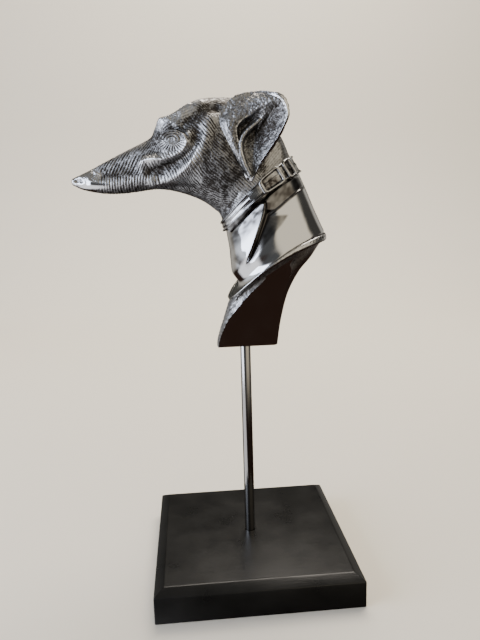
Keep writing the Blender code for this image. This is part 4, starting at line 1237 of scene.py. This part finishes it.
class GREYHOUND_OT_coat(bpy.types.Operator):
    """Makes the polished coat with its lapel, neckline and hem"""

    bl_idname = "greyhound.coat"
    bl_label = "Coat"

    def execute(self, context):
        top, hem = place_in(BODY_PLAN, "collar top"), place_in(BODY_PLAN, "hem")
        stations = even_stations(BODY_PLAN, top + 0.45, hem, COAT_GAP)
        grid, side_share = body_rings(stations, COAT_AROUND)
        steps = np.linalg.norm(np.diff(grid, axis=0), axis=-1)
        from_collar = np.concatenate([np.zeros((1, COAT_AROUND)), np.cumsum(steps, axis=0)])
        below_strap = from_collar - from_collar[np.searchsorted(stations, top + 1.05)]
        height, patina_and_painted_shade = coat_height(grid[..., [0, 2]], side_share, np.abs(below_strap))
        from_hem = np.concatenate([np.cumsum(steps[::-1], axis=0)[::-1], np.zeros((1, COAT_AROUND))])
        band = 1 - smooth_step(HEM_BAND_WIDTH - 0.5, HEM_BAND_WIDTH + 0.2, from_hem)
        crease = np.exp(-(((from_hem - HEM_BAND_WIDTH - 0.5) / 0.6) ** 2))
        round_hem = np.cumsum(np.linalg.norm(np.diff(grid[-1], axis=0, append=grid[-1][:1]), axis=-1))
        marks = np.cos(2 * math.pi * (round_hem / HEM_MARK_GAP))[None, :] * np.exp(-(((from_hem - 1.9) / 0.8) ** 2))
        pits = np.clip(marks + 0.6 * lumps(grid, 1.2, 31), 0, 1) * band
        height = height + HEM_BAND_RISE * (band - 1) - 0.6 * crease - 0.4 * pits
        rings = grid + outward_normals(grid) * height[..., None]
        # Painted shade in the crease above the hem band; patina in the band's punched marks.
        hollow = np.clip(patina_and_painted_shade + 0.8 * crease + 0.6 * pits, 0, 1)
        lip = [shrunk(rings[-1], share, (back, 0, -down)) for share, down, back in HEM_LIP]
        lip += [shrunk(rings[-1], share, (1.0, 0, -1.0)) for share in (0.8, 0.5)]
        rings = np.concatenate([rings, np.array(lip)])
        hollow = np.concatenate([hollow, np.full((len(lip), COAT_AROUND), 0.3)])
        polish = np.concatenate([1 - 0.4 * band, np.full((len(lip), COAT_AROUND), 0.6)])
        coat = shell_from_rings("casting_coat", rings, {"hollow": hollow, "polish": polish})
        finish_piece(
            coat,
            "greyhound_bust",
            "cast_aluminium",
            material_once("mirror_polished_aluminium", polished_aluminium),
            material_once("engraved_cast_aluminium", engraved_aluminium),
        )
        engrave_below(coat.data, 0.9)
        return {"FINISHED"}


def off_flat(y, z):
    """How far a point lies from the nearer of the foot's two flats."""
    return np.abs(np.abs(y) - FLAT_HALF_THICKNESS - FLAT_SLOPE * z)


def flat_cutter(name, side):
    """What is cut from one side of the foot: a block whose inner face is the slanting flat."""
    only()
    bpy.ops.mesh.primitive_circle_add(vertices=len(FLAT_REACH), radius=1.0, fill_type="NGON")
    obj = named(name)
    for vert, (x, z) in zip(obj.data.vertices, FLAT_REACH):
        vert.co = in_metres((x, side * (FLAT_HALF_THICKNESS + FLAT_SLOPE * z), z))
    edit_all(bpy.ops.mesh.extrude_region_move)
    unit = bpy.context.scene.greyhound_casting.figure_unit
    for vert in obj.data.vertices:
        if vert.select:
            vert.co.y = side * FLAT_CUT_DEPTH * unit
    turn_outwards(obj)
    return obj


class GREYHOUND_OT_foot(bpy.types.Operator):
    """Makes the foot under the hem, with its two polished flats and the hole for the rod"""

    bl_idname = "greyhound.foot"
    bl_label = "Foot"

    def execute(self, context):
        stations = np.linspace(0, len(FOOT_PLAN) - 1, FOOT_RINGS)
        turns = np.arange(FOOT_AROUND) / FOOT_AROUND
        grid = section_points(FOOT_PLAN, stations[:, None], turns[None, :])
        front = smooth_step(0.0, -0.6, np.cos(2 * math.pi * turns))[None, :] * np.ones((FOOT_RINGS, 1))
        near_cut = smooth_step(FOOT_RINGS - 1, FOOT_RINGS - 6, np.arange(FOOT_RINGS))[:, None]
        form = grid + outward_normals(grid) * (stipple(grid, front) * 1.2 * near_cut)[..., None]
        inner = [shrunk(form[-1], share, (0, 0, 0)) for share in (0.97, 0.5)]
        foot = shell_from_rings("casting_foot", np.concatenate([form, inner]))
        for name, side in (("left_flat_cutter", -1), ("right_flat_cutter", 1)):
            cut_away(foot, flat_cutter(name, side))
        depth = FOOT_HOLE_DEPTH + HOLE_OVERRUN
        cut_away(foot, hole_cutter("foot_hole_cutter", depth, BUST_BOX[0][2] + depth / 2 - HOLE_OVERRUN))
        mesh = foot.data
        figure = in_figure(mesh)
        forward = 1 - smooth_step(-14.0, 10.0, figure[:, 0] - 0.72 * figure[:, 2] + 4.0)
        mottled = lumps(figure, 1.3, 41)
        on_flat = off_flat(figure[:, 1], figure[:, 2]) < 0.02
        keep_attribute(mesh, "hollow", forward * (0.55 + 0.35 * mottled) * ~on_flat)
        keep_attribute(mesh, "polish", 0.85 - 0.75 * forward)
        finish_piece(
            foot,
            "greyhound_bust",
            "cast_aluminium",
            material_once("engraved_cast_aluminium", engraved_aluminium),
            material_once("mirror_polished_aluminium", polished_aluminium),
        )
        unit = context.scene.greyhound_casting.figure_unit
        for face in mesh.polygons:
            y, z = face.center.y / unit, (face.center.z - BUST_BOX[0][2]) / unit
            if off_flat(y, z) < 0.01 and abs(face.normal.y) > 0.9:
                face.material_index = 1
        only(foot)
        bpy.ops.object.shade_smooth_by_angle(angle=math.radians(38))
        for face in mesh.polygons:
            face.use_smooth = face.material_index == 0
        return {"FINISHED"}


class GREYHOUND_OT_rod(bpy.types.Operator):
    """Makes the steel rod, bevelled at both ends"""

    bl_idname = "greyhound.rod"
    bl_label = "Rod"

    def execute(self, context):
        low, high = ROD_BOX
        only()
        bpy.ops.mesh.primitive_cylinder_add(
            vertices=96, radius=(high[0] - low[0]) / 2, depth=high[2] - low[2], location=middle_of(ROD_BOX)
        )
        rod = named("support_rod_bar")
        bpy.ops.object.transform_apply(location=True, rotation=True, scale=True)
        bevel = context.scene.greyhound_stand.rod_end_bevel
        apply_modifier(rod, "BEVEL", width=bevel, segments=3, limit_method="ANGLE", angle_limit=1.2)
        only(rod)
        bpy.ops.object.shade_smooth_by_angle(angle=math.radians(30))
        finish_piece(rod, "support_rod", "polished_steel", material_once("drawn_polished_steel", polished_steel))
        return {"FINISHED"}


class GREYHOUND_OT_block(bpy.types.Operator):
    """Makes the wooden block, chamfered round its top and bored for the rod"""

    bl_idname = "greyhound.block"
    bl_label = "Block"

    def execute(self, context):
        stand = context.scene.greyhound_stand
        low, high = BLOCK_BOX
        only()
        bpy.ops.mesh.primitive_cube_add(size=1.0, location=middle_of(BLOCK_BOX))
        block = named("base_block_body")
        block.scale = (high[0] - low[0], high[1] - low[1], high[2] - low[2])
        bpy.ops.object.transform_apply(location=True, rotation=True, scale=True)
        bpy.ops.object.mode_set(mode="EDIT")
        bpy.ops.mesh.select_all(action="DESELECT")
        bpy.ops.object.mode_set(mode="OBJECT")
        for face in block.data.polygons:
            face.select = face.normal.z > 0.9
        bpy.ops.object.mode_set(mode="EDIT")
        bpy.ops.mesh.select_mode(type="FACE")
        bpy.ops.mesh.inset(thickness=stand.chamfer_inset, depth=0.0)
        bpy.ops.object.mode_set(mode="OBJECT")
        for vert in block.data.vertices:
            on_rim = abs(abs(vert.co.x) - high[0]) < 1e-5 or abs(abs(vert.co.y) - high[1]) < 1e-5
            if vert.co.z > high[2] - 1e-5 and on_rim:
                vert.co.z -= stand.chamfer_drop
        apply_modifier(
            block, "BEVEL", width=stand.edge_rounding, segments=4, limit_method="ANGLE", angle_limit=math.radians(20)
        )
        cut_away(block, hole_cutter("block_hole_cutter", high[2], ROD_BOX[0][2] - ROD_CLEARANCE + high[2] / 2))
        only(block)
        bpy.ops.object.shade_smooth_by_angle(angle=math.radians(25))
        lacquer = material_once("satin_black_lacquer_on_wood", lacquered_wood)
        finish_piece(block, "base_block", "black_lacquered_wood", lacquer)
        return {"FINISHED"}


def stand_at(obj, axes, place):
    """Puts a lamp or the camera at its place, turned so that the axes are its own X, Y and Z."""
    obj.matrix_world = Matrix([[*row, at] for row, at in zip(np.array(axes).T, place)] + [[0, 0, 0, 1]])


def area_light(name, place, target, size, power, tint):
    only()
    bpy.ops.object.light_add(type="AREA", location=place)
    light = bpy.context.object
    light.name = light.data.name = name
    light.data.shape = "RECTANGLE"
    light.data.size, light.data.size_y = size
    light.data.energy = power
    light.data.color = colour(tint)[:3]
    aim = np.array(target) - np.array(place)
    away = -aim / np.linalg.norm(aim)
    right = np.cross((0, 0, 1), away)
    right /= np.linalg.norm(right)
    upward = np.cross(away, right)
    stand_at(light, (right, upward, away), place)


def room_light():
    """The room that the metal reflects: bright on the left, dark in front, pale right of that, brown below."""
    world = bpy.data.worlds.new("room")
    bpy.context.scene.world = world
    world.use_nodes = True
    tree = world.node_tree
    background = tree.nodes["Background"]
    way = add_node(tree, "ShaderNodeTexCoord").outputs["Generated"]
    tone = ROOM_TONE
    for direction, start, full, zone_tone in ROOM_ZONES:
        facing = add_node(
            tree, "ShaderNodeVectorMath", {0: way, 1: direction}, operation="DOT_PRODUCT"
        ).outputs["Value"]
        share = add_node(
            tree,
            "ShaderNodeMapRange",
            {"Value": facing, "From Min": start, "From Max": full, "To Min": 0.0, "To Max": 1.0},
            interpolation_type="SMOOTHSTEP",
        ).outputs[0]
        tone = add_node(tree, "ShaderNodeMix", {"Factor": share, 6: tone, 7: zone_tone}, data_type="RGBA").outputs[2]
    seen = add_node(tree, "ShaderNodeLightPath").outputs["Is Camera Ray"]
    shown = add_node(tree, "ShaderNodeMix", {"Factor": seen, 6: tone, 7: ROOM_SEEN}, data_type="RGBA").outputs[2]
    tree.links.new(shown, background.inputs["Color"])
    background.inputs["Strength"].default_value = 1.0


class GREYHOUND_OT_stage(bpy.types.Operator):
    """Makes the floor that turns up into a backdrop, the lights and the camera"""

    bl_idname = "greyhound.stage"
    bl_label = "Stage"

    def execute(self, context):
        stage = context.scene.greyhound_stage
        only()
        bpy.ops.mesh.primitive_grid_add(x_subdivisions=8, y_subdivisions=60, size=1.0)
        sweep = named("studio_sweep")
        quarter = SWEEP_RADIUS * math.pi / 2
        for vert in sweep.data.vertices:
            walked = SWEEP_FRONT + (vert.co.y + 0.5) * SWEEP_LENGTH
            over = walked - stage.sweep_distance
            if over <= 0:
                y, z = walked, 0.0
            elif over < quarter:
                y = stage.sweep_distance + SWEEP_RADIUS * math.sin(over / SWEEP_RADIUS)
                z = SWEEP_RADIUS * (1 - math.cos(over / SWEEP_RADIUS))
            else:
                y, z = stage.sweep_distance + SWEEP_RADIUS, SWEEP_RADIUS + over - quarter
            vert.co = (vert.co.x * 2 * SWEEP_HALF_WIDTH, y, z)
        bpy.ops.object.shade_smooth()
        sweep.data.materials.append(material_once("studio_paper", studio_paper))
        sweep.visible_glossy = False
        sweep.visible_shadow = False
        room_light()
        for lamp in LAMPS:
            area_light(*lamp)
        camera_data = bpy.data.cameras.new("camera")
        camera = bpy.data.objects.new("camera", camera_data)
        context.scene.collection.objects.link(camera)
        camera_data.sensor_width = SENSOR
        camera_data.lens = CAMERA_FOCAL / PICTURE_HEIGHT * SENSOR
        yaw, pitch, roll = (math.radians(angle) for angle in CAMERA_TURN)
        aim = np.array([math.sin(yaw) * math.cos(pitch), math.cos(yaw) * math.cos(pitch), -math.sin(pitch)])
        level = np.array([math.cos(yaw), -math.sin(yaw), 0.0])
        raised = np.cross(level, aim)
        right = math.cos(roll) * level + math.sin(roll) * raised
        upward = -math.sin(roll) * level + math.cos(roll) * raised
        stand_at(camera, (right, upward, -aim), CAMERA_PLACE)
        context.scene.camera = camera
        return {"FINISHED"}


class GREYHOUND_PT_panel(bpy.types.Panel):
    """Lists the settings and the steps that make the bust"""

    bl_idname = "GREYHOUND_PT_panel"
    bl_label = "Greyhound bust"
    bl_space_type = "VIEW_3D"
    bl_region_type = "UI"
    bl_category = "Greyhound"

    def draw(self, context):
        for group in (context.scene.greyhound_casting, context.scene.greyhound_stand, context.scene.greyhound_stage):
            box = self.layout.box()
            for name in group.__annotations__:
                box.prop(group, name)
        for step in STEPS:
            self.layout.operator(step.bl_idname)


STEPS = (
    GREYHOUND_OT_stage,
    GREYHOUND_OT_block,
    GREYHOUND_OT_rod,
    GREYHOUND_OT_foot,
    GREYHOUND_OT_coat,
    GREYHOUND_OT_collar,
    GREYHOUND_OT_head,
    GREYHOUND_OT_ears,
)
SETTINGS = (
    ("greyhound_casting", CastingSettings),
    ("greyhound_stand", StandSettings),
    ("greyhound_stage", StageSettings),
)


def register():
    for name, group in SETTINGS:
        bpy.utils.register_class(group)
        setattr(bpy.types.Scene, name, bpy.props.PointerProperty(type=group))
    for step in (*STEPS, GREYHOUND_PT_panel):
        bpy.utils.register_class(step)


def unregister():
    for step in reversed((*STEPS, GREYHOUND_PT_panel)):
        bpy.utils.unregister_class(step)
    for name, group in reversed(SETTINGS):
        delattr(bpy.types.Scene, name)
        bpy.utils.unregister_class(group)


def main():
    register()
    bpy.ops.greyhound.stage()
    bpy.ops.greyhound.block()
    bpy.ops.greyhound.rod()
    bpy.ops.greyhound.foot()
    bpy.ops.greyhound.coat()
    bpy.ops.greyhound.collar()
    bpy.ops.greyhound.head()
    bpy.ops.greyhound.ears()


if __name__ == "__main__":
    main()
